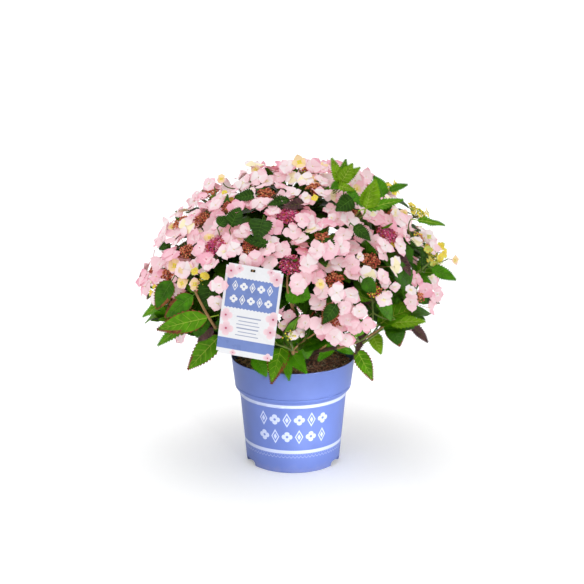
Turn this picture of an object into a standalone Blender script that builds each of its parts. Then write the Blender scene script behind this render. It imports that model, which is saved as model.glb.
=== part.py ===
"""A lacecap hydrangea in its nursery pot: pot, soil, root crown, canes, foliage masses and a hanging card.

The frame's origin is the middle of the pot's flat underside, +Z is up and -Y is the front. Sizes are in
metres.
Every mass of foliage keeps to its own cone, which opens outwards from the heart of the root crown.
"""

import math
import random

import bmesh
import bpy
from mathutils import Matrix, Vector
from mathutils.bvhtree import BVHTree

SEED = 11
UP = Vector((0, 0, 1))
GAP = 0.0003  # what pieces that meet keep clear of each other
WELD = 0.000001

# Pot: a tapered container with a deep rolled lip, a rib under it and drainage arches at its foot.
POT_HEIGHT = 0.202
RIM_RADIUS = 0.115
FOOT_RADIUS = 0.0875
FOOT_CHAMFER = 0.003
LIP_FOOT = (0.1085, 0.147)  # radius and height where the lip turns in
LIP_TUCK = (0.1045, 0.1412)  # on the hollow under the lip
SHOULDER = (0.0998, 0.137)  # where the lip meets the body
RIM_ROUND = 0.0012
RIB_FOOT = 0.1275
RIB_HEIGHT = 0.1315
RIB_PROUD = 0.0012
RIB_SLOPE = 0.0015
WALL = 0.002
INNER_RISE = 0.001  # of the wall's inner corners over its outer ones
FLOOR = 0.0026
POT_SEGMENTS = 36
ARCH_AZIMUTHS = (66, 114, -66, -114)
ARCH_SIZE = Vector((0.038, 0.024, 0.019))  # half of its height is under the floor
ARCH_ROUND = 0.005

# Soil: fills the pot to just under the rim, flat in the middle where the root crown stands.
SOIL_TOP = 0.187
SOIL_SEGMENTS = POT_SEGMENTS // 2  # so that its corners lie in the pot's
SOIL_RINGS = (0.090, 0.062, 0.036)
SOIL_BUMP = 0.0022  # up and down, outside the last ring

# Root crown: a low woody dome with a flared foot. The canes spring from its skin.
HEART = Vector((0, 0, 0.190))
DOME_RADIUS = 0.024
DOME_SIDES = 16
DOME_STEPS = (0, 22, 42, 60, 76)  # degrees
FLARE_RADIUS = 0.031
FLARE_HEIGHT = 0.003
FLARE_LOBES = 5
LOBE_SHARE = 0.13

# Crown: the flowers lie on an ellipsoid.
CROWN_CENTRE = Vector((0, 0, 0.31))
CROWN_RADII = Vector((0.268, 0.252, 0.250))
CANE_SHARE = 0.44  # of the reach, where a cane enters its mass
CANE_RADII = (0.0044, 0.0030)
CANE_SIDES = 5
CANE_SWAY = 0.008
CANE_ARCH = 0.006
FORK_STEP = 0.0045  # between two shoots' roots along the stem
STEM_SHARE = 0.62  # of the reach, where a mass's stem forks
STEM_RADII = (0.0030, 0.0026)
STEM_RUN = 0.012  # how far a stem carries on in its cane's line
STEM_SIDES = 5
SHOOT_RADII = (0.0023, 0.0016)
TWIG_SIDES = 3
SHOOT_LEAN = 0.42  # share of its length by which a shoot follows its cane's line
CELL_CLEAR = 0.0012  # from a mass to the faces of its cone
TIP_CLEAR = 0.005  # the same, for a shoot's tip
TIP_DEPTH = 0.014  # how far under the crown's skin a shoot may end
LIMB_CLEAR = 0.0014
POT_CLEAR = 0.004

# Rings of canes: name, count, elevation and first azimuth in degrees. Azimuth 0 is the front, 90 the right.
RINGS = (("top", 1, 90, 0), ("upper", 6, 56, 0), ("lower", 8, 24, 0))

# What ends each shoot: m a bloom that is fully out, b a bloom, y a young bloom, l leaves, d drooping leaves.
# A fan gives each shoot's kind, with the degrees that it stands to the right of its cane and above it.
UPPER_FAN = (("b", -10, 9), ("m", 11, 8), ("b", -11, -9), ("b", 10, -8), ("l", 0, 1))
LOWER_FAN = (("b", -11, 11), ("b", 10, 12), ("b", -1, -5), ("l", -14, -6), ("d", 11, -11))

# Canes that don't follow their ring's fan: each shoot's kind, azimuth and elevation.
SHOOTS = {
    "top_1": (("b", -67, 80), ("y", 32, 84), ("l", 60, 76), ("b", 150, 79), ("b", -150, 78)),
    "upper_1": (("m", -3, 64), ("m", -1, 48), ("b", -21, 52), ("b", 15, 55), ("b", 18, 43)),
    "upper_2": (("l", 46, 63), ("m", 54, 53), ("b", 75, 60), ("b", 37, 47), ("y", 80, 47)),
    "upper_3": (("y", 101, 61), ("y", 98, 50), ("b", 118, 62), ("b", 132, 52), ("b", 116, 48)),
    "upper_6": (("b", -45, 64), ("b", -63, 58), ("m", -38, 51), ("b", -56, 47), ("b", -78, 53)),
    "lower_1": (("y", -2, 30), ("b", 15, 31), ("l", -14, 26), ("d", -9, 18), ("d", 8, 20)),
    "lower_2": (("b", 34, 36), ("b", 43, 24), ("b", 61, 31), ("l", 29, 25), ("d", 52, 15)),
    "lower_3": (("y", 87, 37), ("l", 78, 24), ("b", 103, 33), ("d", 88, 11), ("l", 103, 17)),
    "lower_7": (("b", -83, 35), ("l", -77, 21), ("b", -104, 31), ("d", -88, 11), ("l", -104, 17)),
    "lower_8": (("y", -43, 37), ("b", -34, 28), ("b", -60, 32), ("d", -34, 16), ("d", -56, 13)),
}

# Leaves
LEAF_LENGTH = 0.084
LEAF_WIDTH = 0.042
LEAF_THICK = 0.0024
LEAF_HEEL = 0.0002  # how far a leaf's root runs past its twig's axis
LEAF_STALK = 0.16  # share of its length near its root that may cross what is placed
LEAF_NODES = (0.46, 0.78)  # shares along a shoot, a pair at each
LEAF_TURN = 20  # degrees round the twig, of the first pair
LEAF_WAIST = 0.46  # share of a leaf's length
LEAF_ARCH = 0.12  # share of its length that its tip droops by
LEAF_OUTWARD = 0.6  # how far leaves face outwards as well as up
LEAFY_DEPTH = {"l": 0.042, "d": 0.050}  # from the crown's skin to where a leafy shoot ends
TIP_NODE = 0.97
TIP_LEAVES = ((0, 50), (90, 30), (180, 50), (270, 30))  # degrees round a leafy tip, and away from its twig
LEAF_DROOP = {"l": -0.05, "d": 0.42}
USUAL_DROOP = 0.20
LEAF_SPREAD = 58  # degrees between a leaf and its twig
LEAF_SIZES = (1.0, 0.78)  # what is tried in turn, till the leaf fits
LEAF_FOLDS = (1.0, 0.7, 0.45)  # shares of its spread
LEAF_SWINGS = (0, 28, -28, 56, -56)  # degrees round the twig

# Flower heads: a low dome of small buds, and broad sterile florets round it
HEAD_RADIUS = 0.047
HEAD_TRIES = ((1, 0), (0.88, 0), (0.88, 0.014), (0.74, 0), (0.74, 0.022), (0.6, 0.01))  # size, and depth
YOUNG_SIZE = 0.68
FLORETS = 6
FLORET_HALF = 20  # degrees, from a floret's middle to its shoulders
SHOULDER_SHARE = 0.86
NOTCH_RADIUS = 0.026
HEAD_LIFT = 0.28  # how far heads face up as well as outwards
HEAD_RISE = 0.007
HEAD_DROP = 0.010
FLORET_DROOP = (0.16, 0.34)  # of the radius, for every other floret
FLORET_TRIES = ((1, 0), (0.95, 0.35), (0.84, 0.2), (0.72, 0.4), (0.62, 0))  # size, and more droop

# Hanging card: held by its slot on a stub that grows out of the mass behind it.
CARD_SIZE = Vector((0.098, 0.0009, 0.158))
CARD_CENTRE = Vector((-0.0735, -0.2300, 0.3500))
CARD_TURN = (-3, -7, -10)  # degrees: lean, tilt and yaw
CARD_CORNER = 0.004
SLOT_SIZE = Vector((0.008, 0.006, 0.0045))
SLOT_PLACE = Vector((-0.003, 0, CARD_SIZE.z / 2 - 0.0075))  # its middle, from the card's
STUB_RADIUS = 0.0012
STUB_RUN = 0.03  # its straight length behind the card
STUB_PROUD = 0.006
CARD_CLEAR = 0.0022
CARD_OVERHUNG = 0.014  # how much of the card's top flowers may hide
CARD_MASS = "upper_1"

COLOURS = {
    "pot": (0.24, 0.32, 0.78, 0.35),
    "soil": (0.06, 0.035, 0.025, 0.95),
    "wood": (0.20, 0.13, 0.07, 0.8),
    "foliage": (0.10, 0.22, 0.06, 0.55),
    "card": (0.86, 0.87, 0.90, 0.3),
}


def material(name):
    """A plain finish: base colour, and roughness as the fourth number."""
    found = bpy.data.materials.get(name)
    if found:
        return found
    made = bpy.data.materials.new(name)
    made.use_nodes = True
    shader = made.node_tree.nodes["Principled BSDF"]
    red, green, blue, roughness = COLOURS[name]
    shader.inputs["Base Color"].default_value = (red, green, blue, 1)
    shader.inputs["Roughness"].default_value = roughness
    shader.inputs["Metallic"].default_value = 0
    made.diffuse_color = (red, green, blue, 1)
    return made


def object_of(bm, name, finish, collection=None):
    """An object from a bmesh, with its finish."""
    mesh = bpy.data.meshes.new(name)
    bm.to_mesh(mesh)
    bm.free()
    mesh.materials.append(material(finish))
    made = bpy.data.objects.new(name, mesh)
    (collection or bpy.context.scene.collection).objects.link(made)
    return made


def apply_modifiers(obj):
    graph = bpy.context.evaluated_depsgraph_get()
    mesh = bpy.data.meshes.new_from_object(obj.evaluated_get(graph))
    obj.modifiers.clear()
    obj.data = mesh


def heading(azimuth, elevation):
    """The unit vector at these angles in degrees: azimuth 0 is the front, and 90 the right."""
    a, e = math.radians(azimuth), math.radians(elevation)
    return Vector((math.cos(e) * math.sin(a), -math.cos(e) * math.cos(a), math.sin(e)))


def square_to(axis, towards):
    """The part of one vector that is square to an axis, at length 1."""
    flat = towards - axis * towards.dot(axis)
    return flat.normalized() if flat.length > 1e-6 else axis.orthogonal().normalized()


# Shapes


def turned(profile, segments):
    """A closed solid, from the (radius, height) points of its section."""
    bm = bmesh.new()
    verts = [bm.verts.new((radius, 0, height)) for radius, height in profile]
    edges = [bm.edges.new(pair) for pair in zip(verts, verts[1:])]
    full = 2 * math.pi
    bmesh.ops.spin(bm, geom=verts + edges, axis=UP, angle=full, steps=segments, use_merge=True)
    bmesh.ops.remove_doubles(bm, verts=bm.verts, dist=WELD)
    bmesh.ops.recalc_face_normals(bm, faces=bm.faces)
    return bm


def boxed(size, place=None):
    """A box from its size and its middle."""
    bm = bmesh.new()
    bmesh.ops.create_cube(bm, size=1)
    bmesh.ops.scale(bm, vec=size, verts=bm.verts)
    bmesh.ops.translate(bm, vec=place or Vector(), verts=bm.verts)
    return bm


def rounded_edges(bm, along, offset, above=None):
    """Rounds a box's edges along one axis (0, 1 or 2), all of them or those over a height."""
    other = [axis for axis in range(3) if axis != along]
    found = []
    for edge in bm.edges:
        low, high = (vert.co for vert in edge.verts)
        runs_along = all(abs(low[axis] - high[axis]) < WELD for axis in other)
        if runs_along and (above is None or low.z > above):
            found.append(edge)
    bmesh.ops.bevel(bm, geom=found, offset=offset, segments=2, affect="EDGES")


def combine(target, cutters, operation, solver="EXACT"):
    """Cuts a collection's objects from the target, or joins them to it, and removes them."""
    made = target.modifiers.new("combine", "BOOLEAN")
    made.operation = operation
    made.operand_type = "COLLECTION"
    made.collection = cutters
    made.solver = solver
    apply_modifiers(target)
    for old in list(cutters.objects):
        bpy.data.objects.remove(old, do_unlink=True)
    bpy.data.collections.remove(cutters)


def new_collection(name):
    made = bpy.data.collections.new(name)
    bpy.context.scene.collection.children.link(made)
    return made


def tube(points, radii, sides):
    """A closed limb along points, with flat ends square to its first and last runs."""
    bm = bmesh.new()
    rings = []
    side = square_to((points[1] - points[0]).normalized(), UP)
    last = len(points) - 1
    for i, (point, radius) in enumerate(zip(points, radii)):
        along = (points[min(i + 1, last)] - points[max(i - 1, 0)]).normalized()
        side = square_to(along, side)
        other = along.cross(side)
        turns = [2 * math.pi * k / sides for k in range(sides)]
        ways = [side * math.cos(t) + other * math.sin(t) for t in turns]
        rings.append([bm.verts.new(point + way * radius) for way in ways])
    for low, high in zip(rings, rings[1:]):
        for i in range(sides):
            j = (i + 1) % sides
            bm.faces.new((low[i], low[j], high[j], high[i]))
    bm.faces.new(rings[0][::-1])
    bm.faces.new(rings[-1])
    bmesh.ops.recalc_face_normals(bm, faces=bm.faces)
    return bm


def shaped(corners, faces):
    """A closed shape from its corners and its faces' corner numbers."""
    bm = bmesh.new()
    verts = [bm.verts.new(corner) for corner in corners]
    for face in faces:
        bm.faces.new([verts[i] for i in face])
    bmesh.ops.recalc_face_normals(bm, faces=bm.faces)
    return bm


def bend(start, middle, end, steps):
    """Points on the arc from start to end that leans towards middle."""
    shares = [i / steps for i in range(steps + 1)]
    return [start * (1 - t) ** 2 + middle * (2 * t * (1 - t)) + end * t**2 for t in shares]


def tapered(radii, count):
    return [radii[0] + (radii[1] - radii[0]) * i / (count - 1) for i in range(count)]


# Pot, soil and root crown


def radius_at(height, low, high):
    """The radius at a height on the line between two (radius, height) points."""
    return low[0] + (high[0] - low[0]) * (height - low[1]) / (high[1] - low[1])


def body_radius(height):
    return radius_at(height, (FOOT_RADIUS, 0), SHOULDER)


def lip_radius(height):
    return radius_at(height, LIP_FOOT, (RIM_RADIUS, POT_HEIGHT))


def make_pot():
    """The pot, turned from its section, with the drainage arches cut out of its foot."""
    rib = body_radius(RIB_HEIGHT) + RIB_PROUD
    outside = [
        (0, 0),
        (FOOT_RADIUS - FOOT_CHAMFER, 0),
        (body_radius(FOOT_CHAMFER), FOOT_CHAMFER),
        (body_radius(RIB_FOOT), RIB_FOOT),
        (rib, RIB_FOOT + RIB_SLOPE),
        (rib, RIB_HEIGHT),
        (body_radius(RIB_HEIGHT + RIB_SLOPE), RIB_HEIGHT + RIB_SLOPE),
        SHOULDER,
        LIP_TUCK,
        LIP_FOOT,
        (lip_radius(POT_HEIGHT - RIM_ROUND), POT_HEIGHT - RIM_ROUND),
        (RIM_RADIUS - RIM_ROUND, POT_HEIGHT),
    ]
    inside = [
        (RIM_RADIUS - WALL, POT_HEIGHT - RIM_ROUND),
        (LIP_FOOT[0] - WALL, LIP_FOOT[1] + INNER_RISE),
        (SHOULDER[0] - WALL, SHOULDER[1] + INNER_RISE),
        (body_radius(FLOOR) - WALL, FLOOR),
        (0, FLOOR),
    ]
    pot = object_of(turned(outside + inside, POT_SEGMENTS), "pot", "pot")
    arches = new_collection("arches")
    for azimuth in ARCH_AZIMUTHS:
        bm = boxed(ARCH_SIZE, Vector((0, -FOOT_RADIUS - FOOT_CHAMFER, 0)))
        rounded_edges(bm, 1, ARCH_ROUND, 0)
        turn = Matrix.Rotation(math.radians(azimuth), 4, "Z")
        bmesh.ops.transform(bm, matrix=turn, verts=bm.verts)
        object_of(bm, "arch", "pot", arches)
    combine(pot, arches, "DIFFERENCE")
    pot.data.shade_smooth()
    pot.data.set_sharp_from_angle(angle=math.radians(35))


def make_soil():
    """The soil, which fills the pot, with a rough top that is flat under the root crown."""
    draw = random.Random(SEED)
    profile = [
        (0, FLOOR + GAP),
        (body_radius(FLOOR) - WALL - 2 * GAP, FLOOR + GAP),
        (SHOULDER[0] - WALL - GAP, SHOULDER[1] + INNER_RISE),
        (LIP_FOOT[0] - WALL - 2 * GAP, LIP_FOOT[1] + INNER_RISE + GAP),
        (lip_radius(SOIL_TOP) - WALL - 3 * GAP, SOIL_TOP - SOIL_BUMP),
    ]
    profile += [(radius, SOIL_TOP) for radius in SOIL_RINGS] + [(0, SOIL_TOP)]
    bm = turned(profile, SOIL_SEGMENTS)
    for vert in bm.verts:
        if vert.co.z > SOIL_TOP - WELD and vert.co.xy.length > SOIL_RINGS[-1] + WELD:
            vert.co.z += draw.uniform(-1, 1) * SOIL_BUMP
    object_of(bm, "soil", "soil")


def make_root_crown():
    """The woody crown: its foot is cut flat at soil level and flares in lobes over the tops of the roots."""
    foot = SOIL_TOP + GAP
    profile = [(0, foot), (FLARE_RADIUS, foot), (FLARE_RADIUS - FLARE_HEIGHT, foot + FLARE_HEIGHT)]
    for rise in DOME_STEPS:
        angle = math.radians(rise)
        profile.append((DOME_RADIUS * math.cos(angle), HEART.z + DOME_RADIUS * math.sin(angle)))
    profile.append((0, HEART.z + DOME_RADIUS))
    bm = turned(profile, DOME_SIDES)
    for vert in bm.verts:
        if vert.co.z < foot + FLARE_HEIGHT + WELD:
            lobe = 1 + LOBE_SHARE * math.sin(FLARE_LOBES * math.atan2(vert.co.y, vert.co.x))
            vert.co.xy *= lobe
    object_of(bm, "root_crown", "wood")


# The spaces that the masses keep to


def crown_reach(direction):
    """How far the crown's flowers lie from the heart in a direction."""
    scaled = Vector([d / r for d, r in zip(direction, CROWN_RADII)])
    offset = Vector([(h - c) / r for h, c, r in zip(HEART, CROWN_CENTRE, CROWN_RADII)])
    a, b, c = scaled.dot(scaled), scaled.dot(offset), offset.dot(offset) - 1
    return (-b + math.sqrt(b * b - a * c)) / a


class Mass:
    """One cane and its foliage: its direction, its cone, its shoots and what has been placed."""

    def __init__(self, ring, number, elevation, azimuth):
        self.name = f"{ring}_{number + 1}"
        self.axis = heading(azimuth, elevation)
        self.right = heading(azimuth + 90, 0)
        self.draw = random.Random(f"{SEED} {self.name}")
        self.reach = crown_reach(self.axis)
        self.walls = []
        self.placed = []
        self.limb = self.cane_line()
        self.fork = HEART + self.axis * (self.reach * STEM_SHARE)
        if self.name in SHOOTS:
            self.shoots = [(kind, heading(a, e)) for kind, a, e in SHOOTS[self.name]]
        else:
            fan = UPPER_FAN if ring == "upper" else LOWER_FAN
            self.shoots = [(kind, self.fanned(across, up)) for kind, across, up in fan]

    def fanned(self, across, up):
        """The direction this many degrees to the right of the cane's and above it."""
        across += self.draw.uniform(-2, 2)
        up += self.draw.uniform(-2, 2)
        rise = self.axis.cross(self.right) * -1
        way = self.axis + self.right * math.tan(math.radians(across)) + rise * math.tan(math.radians(up))
        return way.normalized()

    def cane_line(self):
        """The cane's middle line, from the root crown's skin to where its mass begins."""
        start = HEART + self.axis * (DOME_RADIUS + GAP)
        end = HEART + self.axis * (self.reach * CANE_SHARE)
        sway = self.right * self.draw.uniform(-CANE_SWAY, CANE_SWAY) + UP * CANE_ARCH
        return bend(start, (start + end) / 2 + sway, end, 3)

    def holds(self, points, clear=CELL_CLEAR):
        """True if all the points lie in this mass's own cone."""
        return all((p - HEART).dot(wall) >= clear for p in points for wall in self.walls)


def lay_out_masses():
    masses = []
    for ring, count, elevation, azimuth in RINGS:
        for i in range(count):
            masses.append(Mass(ring, i, elevation, azimuth + 360 * i / count))
    for mass in masses:
        mass.walls = [(mass.axis - other.axis).normalized() for other in masses if other is not mass]
    return masses


# What foliage keeps clear of


def card_matrix():
    lean, tilt, yaw = (math.radians(a) for a in CARD_TURN)
    turn = Matrix.Rotation(yaw, 4, "Z") @ Matrix.Rotation(lean, 4, "X") @ Matrix.Rotation(-tilt, 4, "Y")
    return Matrix.Translation(CARD_CENTRE) @ turn


CARD_INVERSE = card_matrix().inverted()


def near_card(point):
    """True close to the card or in front of it, apart from its top edge, which flowers may hang over."""
    local = CARD_INVERSE @ point
    half = CARD_SIZE / 2
    outside = abs(local.x) > half.x + CARD_CLEAR or abs(local.z) > half.z + CARD_CLEAR
    if outside or local.y > half.y + CARD_CLEAR:
        return False
    return local.y > -half.y - CARD_CLEAR or local.z < half.z - CARD_OVERHUNG


def near_pot(point):
    """True in the pot's wall or soil and close to them, under the rim."""
    radius = point.xy.length
    if point.z > POT_HEIGHT + POT_CLEAR or radius > RIM_RADIUS + POT_CLEAR:
        return False
    return radius > LIP_FOOT[0] - WALL - POT_CLEAR or point.z < SOIL_TOP + SOIL_BUMP + POT_CLEAR


def near_line(point, line, radius):
    for start, end in zip(line, line[1:]):
        run = end - start
        share = max(0.0, min(1.0, (point - start).dot(run) / run.length_squared))
        if (point - start - run * share).length < radius:
            return True
    return False


def spread_over(corners, faces, step=0.0035):
    """Points at most a step apart over a shape's faces."""
    found = []
    for a, b, c in faces:
        p, q, r = corners[a], corners[b], corners[c]
        count = max(1, math.ceil(max((q - p).length, (r - p).length, (r - q).length) / step))
        for i in range(count + 1):
            for j in range(count + 1 - i):
                found.append(p + (q - p) * (i / count) + (r - p) * (j / count))
    return found


def fits(mass, corners, faces, own=None):
    """True if a leaf or floret keeps to its mass's cone and touches no limb, flower, leaf, pot or card."""
    if not mass.holds(corners):
        return False
    tree = BVHTree.FromPolygons(corners, faces)
    if any(other is not own and tree.overlap(other) for other in mass.placed):
        return False
    close_to_card = min((c - CARD_CENTRE).length for c in corners) < CARD_SIZE.z
    close_to_pot = min(c.z for c in corners) < POT_HEIGHT + 2 * POT_CLEAR
    close_to_limb = min((c - mass.limb[-1]).length for c in corners) < LEAF_LENGTH
    if not (close_to_card or close_to_pot or close_to_limb):
        return True
    for point in spread_over(corners, faces):
        if close_to_card and near_card(point) or close_to_pot and near_pot(point):
            return False
        if close_to_limb and near_line(point, mass.limb, CANE_RADII[0] + LIMB_CLEAR):
            return False
    return True


# Leaves: thin closed blades of eight faces

LEAF_FACES = (
    (0, 1, 4), (1, 2, 4), (2, 3, 4), (3, 0, 4),
    (1, 0, 5), (2, 1, 5), (3, 2, 5), (0, 3, 5),
)  # fmt: skip


def leaf_corners(root, along, face, length):
    """A blade's corners: root, right, tip, left, top and underside. It arches, and its tip droops."""
    side = along.cross(face).normalized()
    middle = root + along * (length * LEAF_WAIST)
    half = side * (length * LEAF_WIDTH / LEAF_LENGTH / 2)
    droop = length * LEAF_ARCH
    crest = middle + face * (droop * LEAF_ARCH)
    tip = root + along * length - face * droop
    thick = face * (LEAF_THICK / 2)
    return [root, middle + half, tip, middle - half, crest + thick, crest - thick]


def leaf_ways(mass, along, turn, spread):
    """The ways that a leaf may leave its twig, best first: it swings round it, then folds towards it."""
    side = square_to(along, mass.right)
    other = along.cross(side)
    for fold in LEAF_FOLDS:
        for swing in LEAF_SWINGS:
            angle = math.radians(turn + swing)
            lean = math.radians(spread * fold)
            out = side * math.cos(angle) + other * math.sin(angle)
            yield (along * math.cos(lean) + out * math.sin(lean)).normalized()


def place_leaf(mass, twig, root, along, turn, spread, size, droop):
    """The corners of the first way and size in which a leaf fits, or None."""
    for scale in LEAF_SIZES:
        length = LEAF_LENGTH * size * scale
        for way in leaf_ways(mass, along, turn, spread):
            down = (way - UP * droop).normalized()
            face = square_to(down, UP + mass.axis * LEAF_OUTWARD)
            corners = leaf_corners(root - down * LEAF_HEEL, down, face, length + LEAF_HEEL)
            past_root = [corners[0].lerp(corners[2], LEAF_STALK)] + corners[1:]
            if mass.holds(corners) and fits(mass, past_root, LEAF_FACES, twig):
                mass.placed.append(BVHTree.FromPolygons(past_root, LEAF_FACES))
                return corners
    return None


# Flower heads: one closed star, whose points are the florets


def head_shape(mass, base, facing, size, first, sizes):
    """A head's corners and faces, or None. A floret that doesn't fit is drawn in, or left out."""
    side = square_to(facing, mass.right)
    other = facing.cross(side)

    def rim(angle, radius, droop):
        out = side * math.cos(angle) + other * math.sin(angle)
        return base + out * radius - facing * (droop * radius)

    middle = [base + facing * (HEAD_RISE * size), base - facing * (HEAD_DROP * size)]
    disc = [rim(first + math.pi * i / 3, NOTCH_RADIUS * size, 0) for i in range(6)]
    if not fits(mass, disc + middle, [(i, (i + 1) % 6, 6 + k) for i in range(6) for k in (0, 1)]):
        return None
    ring = []
    for i, grown in enumerate(sizes):
        angle = first + 2 * math.pi * i / FLORETS
        half = math.radians(FLORET_HALF)
        for share, more in FLORET_TRIES:
            radius, droop = HEAD_RADIUS * size * grown * share, FLORET_DROOP[i % 2] + more
            blade = [
                rim(angle - half, radius * SHOULDER_SHARE, droop * 0.7),
                rim(angle, radius, droop),
                rim(angle + half, radius * SHOULDER_SHARE, droop * 0.7),
            ]
            if fits(mass, blade + middle, ((0, 1, 3), (1, 2, 3), (0, 1, 4), (1, 2, 4))):
                ring += blade
                break
        ring.append(rim(angle + math.pi / FLORETS, NOTCH_RADIUS * size, 0.05))
    count = len(ring)
    faces = [(i, (i + 1) % count, count) for i in range(count)]
    faces += [((i + 1) % count, i, count + 1) for i in range(count)]
    return ring + middle, faces


def place_head(mass, kind, tip, way, draw):
    """The first size and depth at which a shoot's head fits, as its shape and where it stands."""
    facing = (way + UP * HEAD_LIFT).normalized()
    first = draw.uniform(0, 2 * math.pi)
    sizes = [draw.uniform(0.90, 1.10) for _ in range(FLORETS)]
    for share, depth in HEAD_TRIES:
        size = share * (YOUNG_SIZE if kind == "y" else 1)
        base = tip - way * depth
        head = head_shape(mass, base, facing, size, first, sizes)
        if head:
            mass.placed.append(BVHTree.FromPolygons(*head))
            return head, base
    return None, tip


# Masses


def shoot_tip(mass, kind, way, draw):
    """Where a shoot ends, and which way it points there."""
    while not mass.holds([HEART + way * mass.reach], TIP_CLEAR):
        way = way.lerp(mass.axis, 0.1).normalized()
    depth = draw.uniform(0, TIP_DEPTH) + LEAFY_DEPTH.get(kind, 0)
    return HEART + way * (crown_reach(way) - depth), way


def shoot_line(mass, number, tip):
    """A shoot's middle line, from inside the mass's stem to its tip."""
    root = mass.fork - mass.axis * (0.002 + FORK_STEP * number)
    middle = root + mass.axis * ((tip - mass.fork).length * SHOOT_LEAN)
    return bend(root, middle, tip, 3)


def point_at(line, share):
    """The point at a share of a line, and the line's direction there."""
    place = share * (len(line) - 1)
    i = min(int(place), len(line) - 2)
    return line[i].lerp(line[i + 1], place - i), (line[i + 1] - line[i]).normalized()


def twig_tree(line):
    """What tells whether a leaf crosses a twig: a thin strip along its middle line, twice over."""
    lift = UP * 0.0006
    corners = [p + lift for p in line] + [p - lift for p in line]
    count = len(line)
    faces = [(i, i + 1, count + i) for i in range(count - 1)]
    return BVHTree.FromPolygons(corners, faces)


def shoot_leaves(mass, kind, line, twig, draw):
    """The corners of all leaves on a shoot."""
    droop = LEAF_DROOP.get(kind, USUAL_DROOP)
    found = []
    for pair, share in enumerate(LEAF_NODES):
        place, along = point_at(line, share)
        for side in (0, 180):
            turn = LEAF_TURN + 90 * pair + side + draw.uniform(-12, 12)
            size = draw.uniform(0.85, 1.1)
            found.append(place_leaf(mass, twig, place, along, turn, LEAF_SPREAD, size, droop))
    if kind in "ld":
        place, along = point_at(line, TIP_NODE)
        for turn, spread in TIP_LEAVES:
            size = draw.uniform(0.72, 0.95)
            found.append(place_leaf(mass, twig, place, along, turn, spread, size, droop))
    return [leaf for leaf in found if leaf]


def card_stub(mass):
    """The bare twig that the card hangs on: it runs out through the slot, close under its top."""
    turn = card_matrix()
    rise = SLOT_SIZE.z / 2 - STUB_RADIUS - GAP
    slot = turn @ (SLOT_PLACE + UP * rise)
    normal = (turn.to_3x3() @ Vector((0, -1, 0))).normalized()
    start = slot - normal * STUB_RUN
    middle = mass.fork.lerp(start, 0.5) + UP * CANE_ARCH
    return bend(mass.fork - mass.axis * (FORK_STEP * 6), middle, start, 3) + [slot + normal * STUB_PROUD]


def mass_shapes(mass):
    """The mass's twigs as (line, radii), and its heads and leaves as (corners, faces)."""
    draws = [random.Random(f"{SEED} {mass.name} {i}") for i in range(len(mass.shoots))]
    shapes, twigs, kinds = [], [], []
    for i, (kind, way) in enumerate(mass.shoots):
        tip, way = shoot_tip(mass, kind, way, draws[i])
        if kind in "mby":
            head, tip = place_head(mass, kind, tip, way, draws[i])
            if head:
                shapes.append(head)
            else:
                kind = "l"
                tip -= way * LEAFY_DEPTH[kind]
        twigs.append((shoot_line(mass, i, tip), SHOOT_RADII))
        kinds.append(kind)
    if mass.name == CARD_MASS:
        twigs.append((card_stub(mass), (SHOOT_RADII[0], STUB_RADIUS)))
    trees = [twig_tree(line) for line, _ in twigs]
    mass.placed += trees
    for kind, (line, _), tree, draw in zip(kinds, twigs, trees, draws):
        shapes += [(leaf, LEAF_FACES) for leaf in shoot_leaves(mass, kind, line, tree, draw)]
    return twigs, shapes


def keep_one_body(mesh):
    """Drops the loose scraps and sealed hollows that fusing leaves, and keeps the largest body."""
    bm = bmesh.new()
    bm.from_mesh(mesh)
    islands, left = [], set(bm.faces)
    while left:
        todo, island = [left.pop()], []
        while todo:
            face = todo.pop()
            island.append(face)
            for edge in face.edges:
                for neighbour in edge.link_faces:
                    if neighbour in left:
                        left.remove(neighbour)
                        todo.append(neighbour)
        islands.append(island)
    islands.sort(key=len)
    spare = [face for island in islands[:-1] for face in island]
    bmesh.ops.delete(bm, geom=spare, context="FACES")
    bmesh.ops.triangulate(bm, faces=bm.faces)
    bm.to_mesh(mesh)
    bm.free()


def make_mass(mass):
    """One mass: stem, shoots, leaves and flower heads, fused into one body."""
    onward = (mass.limb[-1] - mass.limb[-2]).normalized()
    start = mass.limb[-1] + onward * GAP
    stem = tube([start, start + onward * STEM_RUN, mass.fork], tapered(STEM_RADII, 3), STEM_SIDES)
    whole = object_of(stem, f"foliage_{mass.name}", "foliage")
    parts = new_collection(mass.name)
    twigs, shapes = mass_shapes(mass)
    for line, radii in twigs:
        object_of(tube(line, tapered(radii, len(line)), TWIG_SIDES), "twig", "foliage", parts)
    for corners, faces in shapes:
        object_of(shaped(corners, faces), "shape", "foliage", parts)
    combine(whole, parts, "UNION", "MANIFOLD")
    keep_one_body(whole.data)


def make_cane(mass):
    bm = tube(mass.limb, tapered(CANE_RADII, len(mass.limb)), CANE_SIDES)
    object_of(bm, f"cane_{mass.name}", "wood")


def make_card():
    """The card, cut to shape where it is flat and then hung in its place."""
    bm = boxed(CARD_SIZE)
    rounded_edges(bm, 1, CARD_CORNER)
    card = object_of(bm, "hanging_card", "card")
    cutters = new_collection("slot")
    object_of(boxed(SLOT_SIZE, SLOT_PLACE), "slot", "card", cutters)
    combine(card, cutters, "DIFFERENCE")
    card.matrix_world = card_matrix()


def build():
    for old in list(bpy.data.objects):
        bpy.data.objects.remove(old, do_unlink=True)
    make_pot()
    make_soil()
    make_root_crown()
    for mass in lay_out_masses():
        make_cane(mass)
        make_mass(mass)
    make_card()


build()
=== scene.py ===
import math
import random
from collections import defaultdict
from itertools import combinations

import bpy
import numpy as np
from mathutils import Matrix, Vector
from mathutils.bvhtree import BVHTree


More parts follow.
